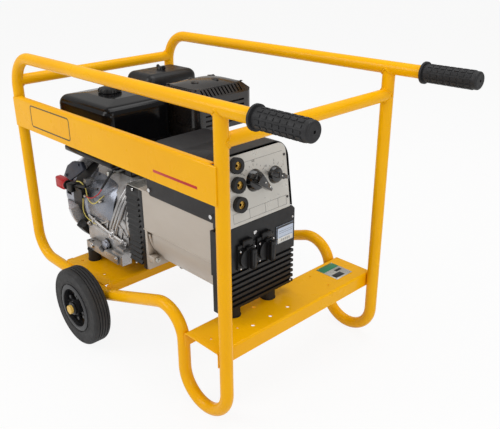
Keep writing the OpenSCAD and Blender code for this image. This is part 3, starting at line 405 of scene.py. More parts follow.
def soften(bm, verts, width, segments=2):
    """Rounds every edge at the given vertices, and returns what bevel made."""
    edges = once(e for v in verts for e in v.link_edges)
    return bmesh.ops.bevel(bm, geom=edges, offset=width * MM, offset_type="OFFSET",
                           segments=segments, profile=0.5, affect="EDGES", material=-1,
                           clamp_overlap=True)


def block(bm, low, high, edge=1.0, turn=None, segments=2):
    """A rounded block between two corners."""
    low, high = at_mm(*low), at_mm(*high)
    size, centre = high - low, (low + high) / 2
    verts = bmesh.ops.create_cube(bm, size=1.0, matrix=Matrix.Diagonal((*size, 1)))["verts"]
    if edge:
        made = soften(bm, verts, edge, segments)
        verts = once([v for f in made["faces"] for v in f.verts] + [v for v in verts if v.is_valid])
    place = Matrix.Translation(centre) @ (turn or Matrix.Identity(4))
    bmesh.ops.transform(bm, matrix=place, verts=verts)
    return verts


def turned(bm, centre, axis, profile, steps=48):
    """A turned part: profile is (radius, height) pairs, spun about the axis."""
    verts = [bm.verts.new((r * MM, 0, h * MM)) for r, h in profile]
    edges = [bm.edges.new(pair) for pair in zip(verts, verts[1:])]
    made = bmesh.ops.spin(bm, geom=verts + edges, cent=(0, 0, 0), axis=(0, 0, 1),
                          angle=2 * math.pi, steps=steps, use_merge=True, use_duplicate=False)
    grown = [v for g in made["geom_last"] for v in (g.verts if hasattr(g, "verts") else [g])]
    todo, seen = [v for v in once(grown + verts) if v.is_valid], {}
    while todo:
        v = todo.pop()
        if v not in seen:
            seen[v] = True
            todo += [e.other_vert(v) for e in v.link_edges]
    bmesh.ops.remove_doubles(bm, verts=list(seen), dist=MERGE)
    seen = [v for v in seen if v.is_valid]
    bmesh.ops.transform(bm, matrix=Matrix.Translation(at_mm(*centre)) @ facing(axis), verts=seen)


def sweep(bm, points, radius, sides=8, closed=False, flat=1.0):
    """A round bar along points; radius is a number or one for each point."""
    points = [at_mm(*p) for p in points]
    count = len(points)
    radii = radius if isinstance(radius, list) else [radius] * count
    rings = []
    for i, p in enumerate(points):
        before = points[i - 1] if closed or i else p
        after = points[(i + 1) % count] if closed or i + 1 < count else p
        place = Matrix.Translation(p) @ facing(after - before) @ Matrix.Diagonal((1, flat, 1, 1))
        rings.append(bmesh.ops.create_circle(bm, segments=sides, radius=radii[i] * MM,
                                             cap_ends=False, matrix=place)["verts"])
    for i in range(count if closed else count - 1):
        a, b = rings[i], rings[(i + 1) % count]
        edges = [e for v in a + b for e in v.link_edges if e.other_vert(v) in a + b]
        bmesh.ops.bridge_loops(bm, edges=once(
            e for e in edges if (e.verts[0] in a) == (e.verts[1] in a)))
    if not closed:
        for ring in (rings[0], rings[-1]):
            bmesh.ops.contextual_create(bm, geom=ring)


def round_ring(node, corner, inset, z):
    """Points round a node's outline at height z, with rounded corners, moved in a little."""
    low, high = box_mm(node)
    x0, x1, y0, y1 = low[0] + corner, high[0] - corner, low[1] + corner, high[1] - corner
    ring = []
    for x, y, start in ((x1, y1, 0), (x0, y1, 90), (x0, y0, 180), (x1, y0, 270)):
        for k in range(7):
            a = math.radians(start + 15 * k)
            ring.append((x + (corner - inset) * math.cos(a), y + (corner - inset) * math.sin(a), z))
    return ring


def screw(bm, centre, axis, r=5.0, h=3.5):
    """A hexagon head on a washer."""
    turned(bm, centre, axis, [(0, 0), (r * 1.45, 0), (r * 1.45, WASHER), (0, WASHER)], 24)
    place = Matrix.Translation(at_mm(*centre)) @ facing(axis)
    made = bmesh.ops.create_cone(bm, cap_ends=True, segments=6, radius1=r * MM, radius2=r * MM,
                                 depth=h * MM,
                                 matrix=place @ Matrix.Translation((0, 0, (WASHER + h / 2) * MM)))
    soften(bm, made["verts"], 0.5)


def pan_screw(bm, centre, axis, r=4.5):
    """A domed screw with a cross in it, seen as a dimple."""
    turned(bm, centre, axis, [(0, 1.0), (r * 0.22, 1.1), (r * 0.34, 2.3), (r * 0.72, 2.0),
                              (r * 0.96, 1.2), (r, 0.4), (r, -0.4)], 20)


print("shape helpers ready")

# %% [markdown]
# ## Weld beads
# Where one tube meets another, a welder lays a bead of overlapping drops in the saddle between
# them, and the powder coat goes over it. The saddle's line comes from the two tubes: each point of
# the ring sits where the second tube's skin is. The bead's radius swells and shrinks for the drops.
# The rear beads are drawn in a little along x, so that none stands out behind the frame.

# %% Weld beads
TUBE_R, BEAD_R, DROP_SWELL, REAR_TUCK = 15.0, 2.6, 0.22, 0.78
LOOP_Y = abs(middle("left_side_loop")[1])
front_x, _, front_z = middle("front_cross_tube")
rear_x, _, rear_z = middle("rear_cross_tube")
top_z = box_mm("left_side_loop")[1][2] - TUBE_R


def saddle(across, steps=72):
    """Offsets round a tube, with the distance from the second tube's axis to its skin there."""
    for i in range(steps):
        a = 2 * math.pi * i / steps
        u, v = TUBE_R * math.cos(a), TUBE_R * math.sin(a)
        yield u, v, math.sqrt(max(0.0, TUBE_R**2 - (u if across == "u" else v) ** 2))


def drops(count, radius, swell):
    return [radius * (1.0 + swell * (1 if i % 2 else -1)) for i in range(count)]


bm = bmesh.new()
for side in (-1, 1):
    rings = [[(x + u * tuck, side * (LOOP_Y - out), z + v) for u, v, out in saddle("u")]
             for x, z, tuck in ((front_x, front_z, 1.0), (rear_x, rear_z, REAR_TUCK))]
    rings.append([(front_x + u, side * LOOP_Y + v, top_z - out) for u, v, out in saddle("v")])
    for ring in rings:
        sweep(bm, ring, drops(len(ring), BEAD_R, DROP_SWELL), closed=True)
add_piece("weld_beads", bm, "frame_paint", sharp=80)

# %% [markdown]
# ## Welds along the decks and side plate
# The two decks end on the tubes and are stitched to them with short runs. Each run is a row of
# flattened drops. The side plate has short runs on the inner side of each upright, and narrow
# strips close the rear deck's ends against the tubes.

# %% Deck welds
low_rd, high_rd = box_mm("rear_deck")
low_sp, high_sp = box_mm("side_plate")
deck_top = box_mm("front_deck")[1][2]


def run(bm, start, end, r=2.4):
    start, end = Vector(start), Vector(end)
    count = max(3, int((end - start).length / r))
    points = [tuple(start.lerp(end, i / (count - 1))) for i in range(count)]
    radii = drops(count, r, 0.25)
    radii[0] = radii[-1] = r * 0.4
    sweep(bm, points, radii)


bm = bmesh.new()
for side in (-1, 1):
    y, z = side * (LOOP_Y - 13.5), high_rd[2] - 4
    for start, end in ((-368, -318), (-298, -248), (-232, -186)):
        run(bm, (start, y, z), (end, y, z))
    x, y = front_x - 17.5, side * (LOOP_Y - 12)
    run(bm, (x, y, deck_top - 22), (x, y, deck_top - 3))
for x in (low_sp[0] + 21, front_x - 17):
    for z in (low_sp[2] + 12, high_sp[2] - 32):
        run(bm, (x, low_sp[1] + 14, z), (x, low_sp[1] + 14, z + 22))
for side in (-1, 1):
    for x in (low_rd[0] + 0.3, high_rd[0] - 3.3):
        y0, y1 = sorted((side * 236, side * (LOOP_Y - 9)))
        block(bm, (x, y0, low_rd[2] + 2), (x + 3, y1, high_rd[2] - 1), edge=0.6)
add_piece("stitch_welds", bm, "frame_paint", sharp=80)

# %% [markdown]
# ## Trim on the side plate
# The plate carries a thin black outline with rounded corners, left bare inside, and a red stripe
# near the front end. Both are foil, so they are a fraction of a millimetre thick. The outline is a
# grid face with its corners rounded, inset, and its middle removed.

# %% Plate trim
FOIL = 0.25


def outline(bm, low, high, corner, line, y):
    """A rounded frame of foil between two (x, z) corners."""
    middle_x, middle_z = (low[0] + high[0]) / 2, (low[1] + high[1]) / 2
    half_wide, half_tall = (high[0] - low[0]) / 2, (high[1] - low[1]) / 2
    made = bmesh.ops.create_grid(bm, x_segments=1, y_segments=1, size=1.0,
                                 matrix=Matrix.Diagonal((half_wide * MM, half_tall * MM, 1, 1)))
    bmesh.ops.bevel(bm, geom=made["verts"], offset=corner * MM, offset_type="OFFSET",
                    segments=6, profile=0.5, affect="VERTICES", material=-1)
    face = [max(bm.faces, key=lambda f: len(f.verts))]
    bmesh.ops.inset_region(bm, faces=face, thickness=line * MM, use_boundary=True,
                           use_even_offset=True)
    bmesh.ops.delete(bm, geom=face, context="FACES_ONLY")
    grown = bmesh.ops.extrude_face_region(bm, geom=list(bm.faces))
    up = [v for v in grown["geom"] if isinstance(v, bmesh.types.BMVert)]
    bmesh.ops.translate(bm, vec=(0, 0, FOIL * MM), verts=up)
    place = Matrix.Translation(at_mm(middle_x, y, middle_z)) @ Matrix.Rotation(math.pi / 2, 4, "X")
    bmesh.ops.transform(bm, matrix=place, verts=bm.verts)


bm = bmesh.new()
outline(bm, (low_sp[0] + 96, low_sp[2] + 14), (low_sp[0] + 300, high_sp[2] - 10), 9, 3.0, low_sp[1])
add_piece("plate_outline", bm, "black_plastic")
bm = bmesh.new()
block(bm, (116, low_sp[1] - FOIL, low_sp[2] + 21), (262, low_sp[1] + 0.5, low_sp[2] + 27), edge=0.1)
add_piece("plate_stripe", bm, "red_plastic")

# %% [markdown]
# ## The deck's rating plate
# A thin metal plate with its corners rounded is riveted to the front deck. It is left blank: a
# green band at its end and two dark boxes with nothing in them.

# %% Rating plate
finish("plate_green", (38, 122, 84), (46, 132, 92), (0.3, 0.4), grain=700)
PLATE_LOW, PLATE_HIGH, BAND_END = (198, 171), (270, 234), 224
for name, material, slot_name, edge, height, boxes in (
        ("rating_plate", "zinc_steel", "zinc_steel", 0.25, (0, 0.6), [(*PLATE_LOW, *PLATE_HIGH)]),
        ("rating_plate_band", "plate_green", "zinc_steel", 0.1, (0.5, 0.85),
         [(PLATE_LOW[0] + 0.5, PLATE_LOW[1] + 0.5, BAND_END, PLATE_HIGH[1] - 0.5)]),
        ("rating_plate_boxes", "black_paint", "black_paint", 0.1, (0.5, 0.8),
         [(246, 176, 264, 210), (232, 204, 241, 226)])):
    bm = bmesh.new()
    for x0, y0, x1, y1 in boxes:
        block(bm, (x0, y0, deck_top + height[0]), (x1, y1, deck_top + height[1]), edge=edge)
    add_piece(name, bm, material)
bm = bmesh.new()
for x in (PLATE_LOW[0] + 4, PLATE_HIGH[0] - 4):
    for y in (PLATE_LOW[1] + 4, PLATE_HIGH[1] - 4):
        pan_screw(bm, (x, y, deck_top + 0.6), (0, 0, 1), 1.8)
add_piece("rating_plate_rivets", bm, "bright_steel")

# %% [markdown]
# ## Castings on the engine's near side
# The crankcase is one casting with a rounded bell towards the fan, which is turned about the
# shaft, because a lathe-like spin gives its round skin directly. Bosses sit round it, two of them
# with a screw, and three holes sink into its skin, each a black plug of painted shade.

# %% Bell
low_cc = box_mm("crankcase")[0]
low_st, high_st = box_mm("stator_housing")
SHAFT_Y, SHAFT_Z = middle("flywheel")[1], 322.0
BOSS_R, HOLE_R = 103, 106
bell_x = low_cc[0] + 0.5


def round_shaft(radius, angle):
    """A place round the shaft, and the direction that points away from it."""
    a = math.radians(angle)
    out = (0, -math.cos(a), math.sin(a))
    return SHAFT_Y - radius * math.cos(a), SHAFT_Z + radius * math.sin(a), out


def shaft_part(bm, x, profile):
    turned(bm, (x, SHAFT_Y, SHAFT_Z), (1, 0, 0), profile, 72)


bm = bmesh.new()
shaft_part(bm, bell_x, [
    (70, 1), (108, 1), (110.5, 2), (111, 6), (109, 9), (107, 13), (106, 22), (104, 34), (100, 46),
    (94, 58), (86, 68), (74, 76), (60, 80), (60, 10), (70, 1)])
add_piece("crankcase_bell", bm, "silver_paint")
bm = bmesh.new()
for angle in (-34, -12, 14, 40, 66, 96, 124):
    y, z, _ = round_shaft(BOSS_R, angle)
    turned(bm, (bell_x + 8, y, z), (1, 0, 0), [(0, 10), (4.5, 10), (5.5, 8), (6, -4), (0, -4)], 18)
    if angle in (14, 66):
        screw(bm, (bell_x + 17, y, z), (1, 0, 0), 4, 3)
add_piece("bell_bosses", bm, "cast_aluminium")
# The three holes are black plugs: painted shade standing in for their dark insides.
bm = bmesh.new()
for angle, x in ((52, 26), (30, 52), (64, 56)):
    y, z, out = round_shaft(HOLE_R, angle)
    turned(bm, (bell_x + x, y, z), out, [(0, 1.5), (3.6, 1.5), (3.6, -12), (0, -12)], 18)
add_piece("bell_hole_shades", bm, "black_plastic")

# %% [markdown]
# ## Starter housing, fan shroud and barrel
# The starter housing flares towards the engine and is open beside the engine switch. A wider black
# shroud shows below it, and the crankcase behind is a bright barrel on the near side. Each is a
# closed profile spun through part of a turn, and its two ends are filled.

# %% Flare, shroud and barrel
FLARE_START, FLARE_END = 190.0, 492.0
SHROUD_START, SHROUD_END = 212.0, 328.0
BARREL_START, BARREL_END = 118.0, 207.0
flare_x = box_mm("fan_cover")[0][0] + 22
# Both corner colours are painted shade in the crevices that ambient occlusion finds.
finish("flare_paint", (216, 216, 218), (196, 196, 200), (0.22, 0.34), metal=0.45, cloud=14,
       grain=700, bump=0.04, corner=(90, 88, 86))
finish("barrel_alloy", (150, 153, 161), (122, 126, 136), (0.2, 0.34), metal=0.7, cloud=11,
       grain=620, bump=0.08, corner=(62, 62, 64), lumps=(30, 0.0006))


def part_turned(x, profile, start, end, steps):
    """A closed (radius, x offset) profile spun about the shaft between two angles in degrees."""
    bm = bmesh.new()
    verts = [bm.verts.new(at_mm(x + dx, r, 0)) for r, dx in profile]
    made = bmesh.ops.contextual_create(bm, geom=verts)
    bmesh.ops.rotate(bm, verts=verts, cent=(0, 0, 0),
                     matrix=Matrix.Rotation(math.radians(start), 3, "X"))
    bmesh.ops.spin(bm, geom=made["faces"], cent=(0, 0, 0), axis=(1, 0, 0),
                   angle=math.radians(end - start), steps=steps, use_duplicate=False)
    bmesh.ops.holes_fill(bm, edges=[e for e in bm.edges if e.is_boundary], sides=0)
    bmesh.ops.translate(bm, verts=bm.verts, vec=at_mm(0, SHAFT_Y, SHAFT_Z))
    return bm


bm = part_turned(flare_x, [(103, 0), (136, 0), (138.5, -2.5), (138, -9), (131, -20), (118, -46),
                           (109, -64), (103, -66)], FLARE_START, FLARE_END, 66)
add_piece("starter_flare", bm, "flare_paint")
bm = part_turned(flare_x, [(122, 0.5), (142, 0.5), (145, 3), (146, 10), (146, 26), (144, 33),
                           (138, 36), (122, 36)], SHROUD_START, SHROUD_END, 36)
add_piece("fan_shroud", bm, "black_paint")
bm = part_turned(low_cc[0], [(92, 4), (106, 4), (107, 8), (106.5, 60), (105.5, 104), (104, 128),
                             (101, 137), (92, 138)], BARREL_START, BARREL_END, 32)
add_piece("crank_barrel", bm, "barrel_alloy")

# %% [markdown]
# ## The rope's bush
# The starter's rope leaves through a smooth bush in the flare, at the height of the handle.

# %% Rope bush
ROPE_UP, FLARE_R = 62.0, 113.0
rope_y = SHAFT_Y + math.sqrt(FLARE_R**2 - ROPE_UP**2)
bm = bmesh.new()
turned(bm, (middle("recoil_handle")[0], rope_y, SHAFT_Z + ROPE_UP), (0, 1, 0),
       [(3.2, -9), (3.2, 5), (4.4, 7), (7.5, 7), (9, 5), (9.5, -9), (3.2, -9)], 28)
add_piece("rope_bush", bm, "black_plastic")

# %% [markdown]
# ## Cast ribs
# Three ribs run down from the shaft end along a bent line, so they are swept. Four short ones
# stiffen the belly.

# %% Cast ribs
RIB = ((-184, -119, 421), (-186, -133, 404), (-190, -148, 384), (-197, -163, 358),
       (-206, -171, 330), (-217, -173, 306), (-228, -174, 286), (-234, -174, 270))
RIB_R = [4.0, 4.6, 4.8, 4.8, 4.8, 4.6, 4.2, 3.4]
bm = bmesh.new()
for aside, lean in ((0, 0), (-13, 1), (-26, 0)):
    line = [(x + aside, y, z) for x, y, z in RIB]
    line[0] = (line[0][0], line[0][1] - lean, line[0][2])
    sweep(bm, line, RIB_R, sides=10, flat=1.2)
for start, end in (((-196, -171, 322), (-176, -166, 300)), ((-214, -173, 302), (-178, -173, 276)),
                   ((-262, -173, 300), (-326, -173, 268)), ((-252, -173, 330), (-286, -173, 286))):
    sweep(bm, [start, tuple((Vector(start) + Vector(end)) / 2), end], [3.4, 3.2, 2.6])
add_piece("cast_ribs", bm, "cast_aluminium")

# %% [markdown]
# ## Output cover rings and oil plug
# The round cover at the output end meets the crankcase in a groove of black painted shade with
# a bright rim. The oil plug is an eight-sided cap on a disc, and turns with the oil filler cap.

# %% Cover rings and plug
cover_x = box_mm("crankcase_cover")[0][0]
# The groove is a black ring of painted shade in the joint.
bm = bmesh.new()
shaft_part(bm, cover_x, [(99, -3), (103.5, -3), (105, -1.5), (105, 5), (99, 5), (99, -3)])
add_piece("cover_groove_shade", bm, "black_paint")
bm = bmesh.new()
shaft_part(bm, cover_x, [(99, 8), (107, 8), (110, 10), (111, 13), (111, 20), (109, 23), (99, 23),
                         (99, 8)])
add_piece("cover_rim", bm, "cast_aluminium")
plug_x, _, plug_z = middle("oil_filler_cap")
plug_y = box_mm("oil_filler_cap")[0][1]
bm = bmesh.new()
turned(bm, (plug_x, plug_y + 1, plug_z), (0, -1, 0),
       [(0, 3), (15.6, 3), (16.4, 2), (16.4, -2), (0, -2)], 32)
place = Matrix.Translation(at_mm(plug_x, plug_y - 4, plug_z)) @ facing((0, -1, 0))
made = bmesh.ops.create_cone(bm, cap_ends=True, segments=8, radius1=14.5 * MM, radius2=13 * MM,
                             depth=5 * MM, matrix=place)
soften(bm, made["verts"], 0.8)
add_piece("oil_plug", bm, "silver_paint", "oil_filler_cap")

# %% [markdown]
# ## Sump shelf and bosses
# A shelf runs along the crankcase where the sump begins, with round bosses on it and a screw in
# each. Two more screws hold the feet.

# %% Sump shelf and bosses
BOSSES = ((-338, 278, 9, 4.5), (-246, 263, 12, 7), (-366, 262, 7, 4), (-196, 258, 8, 4.5))
bm = bmesh.new()
sweep(bm, [(-370, -174, 284), (-344, -176, 279), (-310, -177, 273), (-276, -177, 266),
           (-246, -177, 262), (-214, -176, 258), (-184, -174, 255)], 4.6, sides=10, flat=1.3)
for x, z, r, _ in BOSSES:
    turned(bm, (x, -172, z), (0, -1, 0), [(0, 8), (r - 1.5, 8), (r, 6.5), (r + 1, -2), (0, -2)], 28)
add_piece("sump_shelf", bm, "cast_aluminium")
bm = bmesh.new()
for x, z, _, r in (BOSSES[0], BOSSES[1], BOSSES[3], BOSSES[2]):
    screw(bm, (x, -180, z), (0, -1, 0), r, r * 0.8)
screw(bm, (-318, low_cc[1] - 0.2, 214), (0, -1, 0), 6, 5)
screw(bm, (-196, low_cc[1] - 0.2, 216), (0, -1, 0), 4.5, 4)
add_piece("crankcase_screws", bm, "bright_steel")

# %% [markdown]
# ## The alternator's end shield
# The alternator is bolted to the adapter through a square end shield, whose lower corners stick
# out past the round barrel. A curved web stiffens the corner, and a long bolt passes through a lug.
# A thin sheet covers the adapter's top.

# %% End shield and adapter top
low_ad, high_ad = box_mm("adapter_cover")
SIDES = ((-1, low_st[1]), (1, high_st[1]))
WEB_R, LUG_IN, BOLT_Z = 107, 22, 258.5
st_x = low_st[0]
bm = bmesh.new()
block(bm, (st_x + 14, low_st[1], low_ad[2] + 4), (st_x + 24, high_st[1], SHAFT_Z + 20), edge=2)
for side, y in SIDES:
    arc = []
    for i in range(9):
        a = math.radians(4 + i * 9)
        arc.append((st_x + 30, SHAFT_Y + side * WEB_R * math.cos(a),
                    SHAFT_Z + 14 - WEB_R * math.sin(a)))
    sweep(bm, arc, 3.4)
    y0, y1 = sorted((y, y - side * LUG_IN))
    block(bm, (st_x + 20, y0, 250), (st_x + 46, y1, 267), edge=3)
add_piece("end_shield", bm, "housing_aluminium")
bm = bmesh.new()
for side, y in SIDES:
    bolt_y = y - side * LUG_IN / 2
    turned(bm, (st_x + 46, bolt_y, BOLT_Z), (1, 0, 0), [(0, 8), (6, 8), (7, 7), (7, 0), (0, 0)], 6)
    turned(bm, (st_x + 42, bolt_y, BOLT_Z), (1, 0, 0), [(0, 14), (3, 14), (3, 0), (0, 0)], 16)
    for x in (st_x + 70, st_x + 240):
        screw(bm, (x, SHAFT_Y + side * 40, SHAFT_Z - 99), (0, 0, -1), 4, 3)
add_piece("shield_bolts", bm, "zinc_steel")
bm = bmesh.new()
block(bm, (low_ad[0] + 2, low_st[1] + 2, high_ad[2] - 0.3),
      (st_x - 0.5, high_st[1] - 2, high_ad[2] + 1.6), edge=0.5)
add_piece("adapter_top", bm, "zinc_steel")
bm = bmesh.new()
for side, y in SIDES:
    for x, z, r in ((30, high_ad[2] - 7, 4.2), (24, low_ad[2] + 5, 2.6)):
        pan_screw(bm, (low_ad[0] + x, y + side * 0.1, z), (0, side, 0), r)
add_piece("adapter_screws", bm, "bright_steel")

# %% [markdown]
# ## Ledge on the housing
# A black band closes the joint with the adapter. The housing's side sheet ends in a rolled ledge
# above the barrel, and a long bead along it catches the light. A few ribs stand under the barrel,
# where cooling air leaves.

# %% Housing ledge
LEDGE_Z, BELLY_RIBS = 338, 9
bm = bmesh.new()
for side, y in SIDES:
    y0, y1 = sorted((y - side * 14, y + side * 0.8))
    block(bm, (st_x - 2, y0, low_ad[2] + 1), (st_x + 14.5, y1, high_ad[2] + 1), edge=1.2)
add_piece("adapter_band", bm, "black_paint")
bm = bmesh.new()
for side, y in SIDES:
    sweep(bm, [(x, y - side * 0.6, LEDGE_Z) for x in (st_x + 10, st_x + 120, high_st[0] - 22)], 1.8)
for i in range(BELLY_RIBS):
    x = st_x + 60 + i * 24
    block(bm, (x, SHAFT_Y - 22, SHAFT_Z - 107.8), (x + 9, SHAFT_Y + 22, SHAFT_Z - 101), edge=1.5)
add_piece("housing_ledge", bm, "housing_aluminium")

# %% [markdown]
# ## The engine switch
# The red knob is a chunky lobed grip, moulded in one piece, and the bracket behind it is a bent
# black plate that leans back towards the fan cover. Both stand for simpler solids, so they replace
# them. The knob keeps its own body, and turns with it.

# %% Stop knob and bracket
low_sk, high_sk = box_mm("stop_knob")
_, SK_Y, SK_Z = middle("stop_knob")
KNOB_BACK = high_sk[0] + 32
bm = bmesh.new()
turned(bm, (KNOB_BACK, SK_Y, SK_Z), (-1, 0, 0), [(0, 8), (12, 8), (14, 6), (14.5, 0), (0, 0)], 32)
block(bm, (low_sk[0] + 1, SK_Y - 10.5, SK_Z - 16.5), (KNOB_BACK - 6, SK_Y + 10.5, SK_Z + 16.5),
      edge=5, segments=4)
for z in (SK_Z - 12, SK_Z + 12):
    block(bm, (low_sk[0] + 6, SK_Y - 12, z - 3.5), (KNOB_BACK - 9, SK_Y + 12, z + 3.5), edge=3)
knob = add_piece("stop_grip", bm, "red_plastic", body="stop_knob")
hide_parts("stop_knob")
bm = bmesh.new()
turned(bm, (KNOB_BACK + 0.5, SK_Y, SK_Z), (1, 0, 0),
       [(0, 16), (8, 16), (9, 14), (9, 2), (13, 2), (14, 0), (0, 0)], 24)
block(bm, (KNOB_BACK + 12, SK_Y - 11, SK_Z - 12), (KNOB_BACK + 40, SK_Y + 9, SK_Z + 12), edge=3,
      segments=3)
block(bm, (KNOB_BACK + 10, SK_Y - 3, SK_Z + 6), (KNOB_BACK + 104, SK_Y + 6, SK_Z + 14), edge=2,
      turn=Matrix.Rotation(math.radians(-14), 4, "Y"))
bracket = add_piece("switch_bracket", bm, "black_plastic")
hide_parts("stop_switch")

# %% [markdown]
# ## The switch's plate
# A blue-grey pressed plate carries the switch over the bell. It is drawn as two outlines in x and
# z, one behind the other, and made thick by extruding them.

# %% Switch plate
# The corner colour is painted shade in the crevices that ambient occlusion finds.
finish("switch_blue", (46, 50, 62), (58, 62, 76), (0.34, 0.48), metal=0.2, grain=700, bump=0.08,
       corner=(18, 18, 20))


def plate(bm, corners, y0, y1, edge):
    """A flat plate across the machine from its outline in x and z."""
    verts = [bm.verts.new(at_mm(x, y0, z)) for x, z in corners]
    made = bmesh.ops.contextual_create(bm, geom=verts)
    grown = bmesh.ops.extrude_face_region(bm, geom=made["faces"])
    far = [g for g in grown["geom"] if isinstance(g, bmesh.types.BMVert)]
    bmesh.ops.translate(bm, verts=far, vec=at_mm(0, y1 - y0, 0))
    soften(bm, verts + far, edge, 3)


bm = bmesh.new()
plate(bm, [(-454, 390), (-426, 428), (-394, 448), (-345, 457), (-333, 438), (-380, 407),
           (-419, 384)], -197, -185, 3)
plate(bm, [(-430, 404), (-410, 430), (-372, 446), (-362, 434), (-392, 412), (-412, 396)],
      -186, -170, 2)
for x, z in ((-432, 398), (-356, 447)):
    screw(bm, (x, -197, z), (0, -1, 0), 3.6, 2.6)
add_piece("switch_plate", bm, "switch_blue")

# %% [markdown]
# ## Sleeved lead
# A black sleeve runs down from the coil behind the tank, and a red lead comes out of it and joins
# the yellow ones. It lies on the bell and is held at both ends, so it is a plain swept bar.

# %% Sleeved lead
bm = bmesh.new()
sweep(bm, [(-250, -150, 452), (-256, -158, 436), (-264, -166, 420), (-273, -172, 404),
           (-282, -176, 390)], [2.6, 3.0, 3.2, 3.2, 2.6], sides=12)
add_piece("lead_sleeve", bm, "black_plastic")
bm = bmesh.new()
sweep(bm, [(-280, -175, 393), (-286, -178, 382), (-296, -181, 371), (-310, -183, 361),
           (-326, -185, 353), (-340, -186, 350), (-352, -187, 352)], 1.5, sides=10)
add_piece("red_lead", bm, "red_plastic")
bm = bmesh.new()
for x, y, z in ((-289, -181, 352), (-321, -180, 272), (-356, -189, 352)):
    turned(bm, (x, y, z), (0, 1, 0), [(0, -3), (3.4, -3), (4.2, -1.6), (4.2, 5), (0, 5)], 16)
add_piece("lead_ends", bm, "zinc_steel")

# %% [markdown]
# ## Places on the leaning panel
# The control panel leans back by a few degrees. Marks and knobs are placed by how far across (y)
# and how far up the sheet (h) they are, so one matrix turns a drawing in the XY plane into a print
# on the sheet: X runs across, Y runs up, and Z points out of the sheet.

# %% Panel frame
PANEL_LEAN = math.radians(7.3)
panel_x, panel_z = box_mm("control_panel")[1][0], box_mm("control_panel")[0][2]
UP = Vector((-math.sin(PANEL_LEAN), 0, math.cos(PANEL_LEAN)))
OUT = Vector((math.cos(PANEL_LEAN), 0, math.sin(PANEL_LEAN)))
KNOB_1, KNOB_2 = (-76.0, 91.0), (-11.0, 88.0)


def on_panel(y, h, lift=0.0):
    foot = at_mm(panel_x, y, panel_z) + UP * h * MM + OUT * lift * MM
    return Matrix.Translation(foot) @ Matrix((
        (0, UP.x, OUT.x, 0), (1, UP.y, OUT.y, 0), (0, UP.z, OUT.z, 0), (0, 0, 0, 1)))


def round_knob(knob, radius, angle):
    """A place on the panel at an angle round a knob."""
    a = math.radians(angle)
    return knob[0] + radius * math.cos(a), knob[1] + radius * math.sin(a)


print("knobs at", KNOB_1, KNOB_2)

# %% [markdown]
# ## The two knobs
# The current knob is a deep black drum with a blade that points to the scale, and the range knob is
# a shallower drum with a lever across it. Each is turned, and its blade is a tapered block whose
# end is drawn to a point by scaling its far vertices. They replace plain solids on the same bodies.

# %% Knobs
finish("white_print", (226, 226, 222), (214, 214, 210), (0.4, 0.5))
finish("grey_print", (46, 46, 48), (60, 60, 62), (0.4, 0.5))
finish("knob_gloss", (14, 14, 16), (22, 22, 24), (0.12, 0.22), grain=900, bump=0.03, gloss=0.55,
       coat=0.3)


def blade(bm, length, back, width, tip, low, high, angle):
    verts = block(bm, (-back, -width / 2, low), (length, width / 2, high), edge=1.6, segments=3)
    for v in verts:
        t = max(0.0, v.co.x / (length * MM))
        v.co.y *= 1 - t * (1 - tip / width)
        v.co.z -= t * t * (high - low) * 0.35 * MM if v.co.z > (low + high) / 2 * MM else 0
    bmesh.ops.rotate(bm, verts=verts, cent=(0, 0, 0),
                     matrix=Matrix.Rotation(math.radians(angle), 3, "Z"))


def knob_piece(name, node, place, drum, blades, dots):
    bm = bmesh.new()
    turned(bm, (0, 0, 0), (0, 0, 1), drum, 56)
    for spec in blades:
        blade(bm, *spec)
    bmesh.ops.transform(bm, matrix=on_panel(*place), verts=bm.verts)
    piece = add_piece(name, bm, "knob_gloss", node)
    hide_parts(node)
    bm = bmesh.new()
    for spot in dots:
        turned(bm, spot, (0, 0, 1), [(0, 0.6), (1.5, 0.5), (1.7, 0), (0, 0)], 16)
    bmesh.ops.transform(bm, matrix=on_panel(*place), verts=bm.verts)
    add_piece(name + "_dots", bm, "white_print", node)


knob_piece("current_dial", "current_knob", KNOB_1,
           [(0, 14), (16, 14), (20, 13), (22, 10), (25, 2), (26, 0.4), (0, 0.4)],
           [(40, 16, 25, 6, 8, 34, -43), (12, 24, 12, 12, 8, 27, -43)],
           [(2, -1.6, 34.2), (17, -15.5, 32.0)])
knob_piece("range_dial", "range_knob", KNOB_2,
           [(0, 11), (13, 11), (16.5, 10), (18, 8), (20.5, 2), (21, 0.4), (0, 0.4)],
           [(29, 9, 14, 8, 7, 25, -22), (31, 9, 14, 8, 7, 25, 158)], [(0, 0, 24.6)])

# %% [markdown]
# ## Printed scales
# Real panels are screen printed. Ticks and lines are thin foil blocks, the ticks turned about the
# knob's middle.

# %% Panel print
FOIL_UP, PRINT_THICK = 0.12, 0.2


def printed(bm, wide, tall, place):
    made = bmesh.ops.create_cube(bm, size=1.0, matrix=Matrix.Diagonal((
        wide * MM, tall * MM, PRINT_THICK * MM, 1)))
    bmesh.ops.transform(bm, verts=made["verts"], matrix=place)


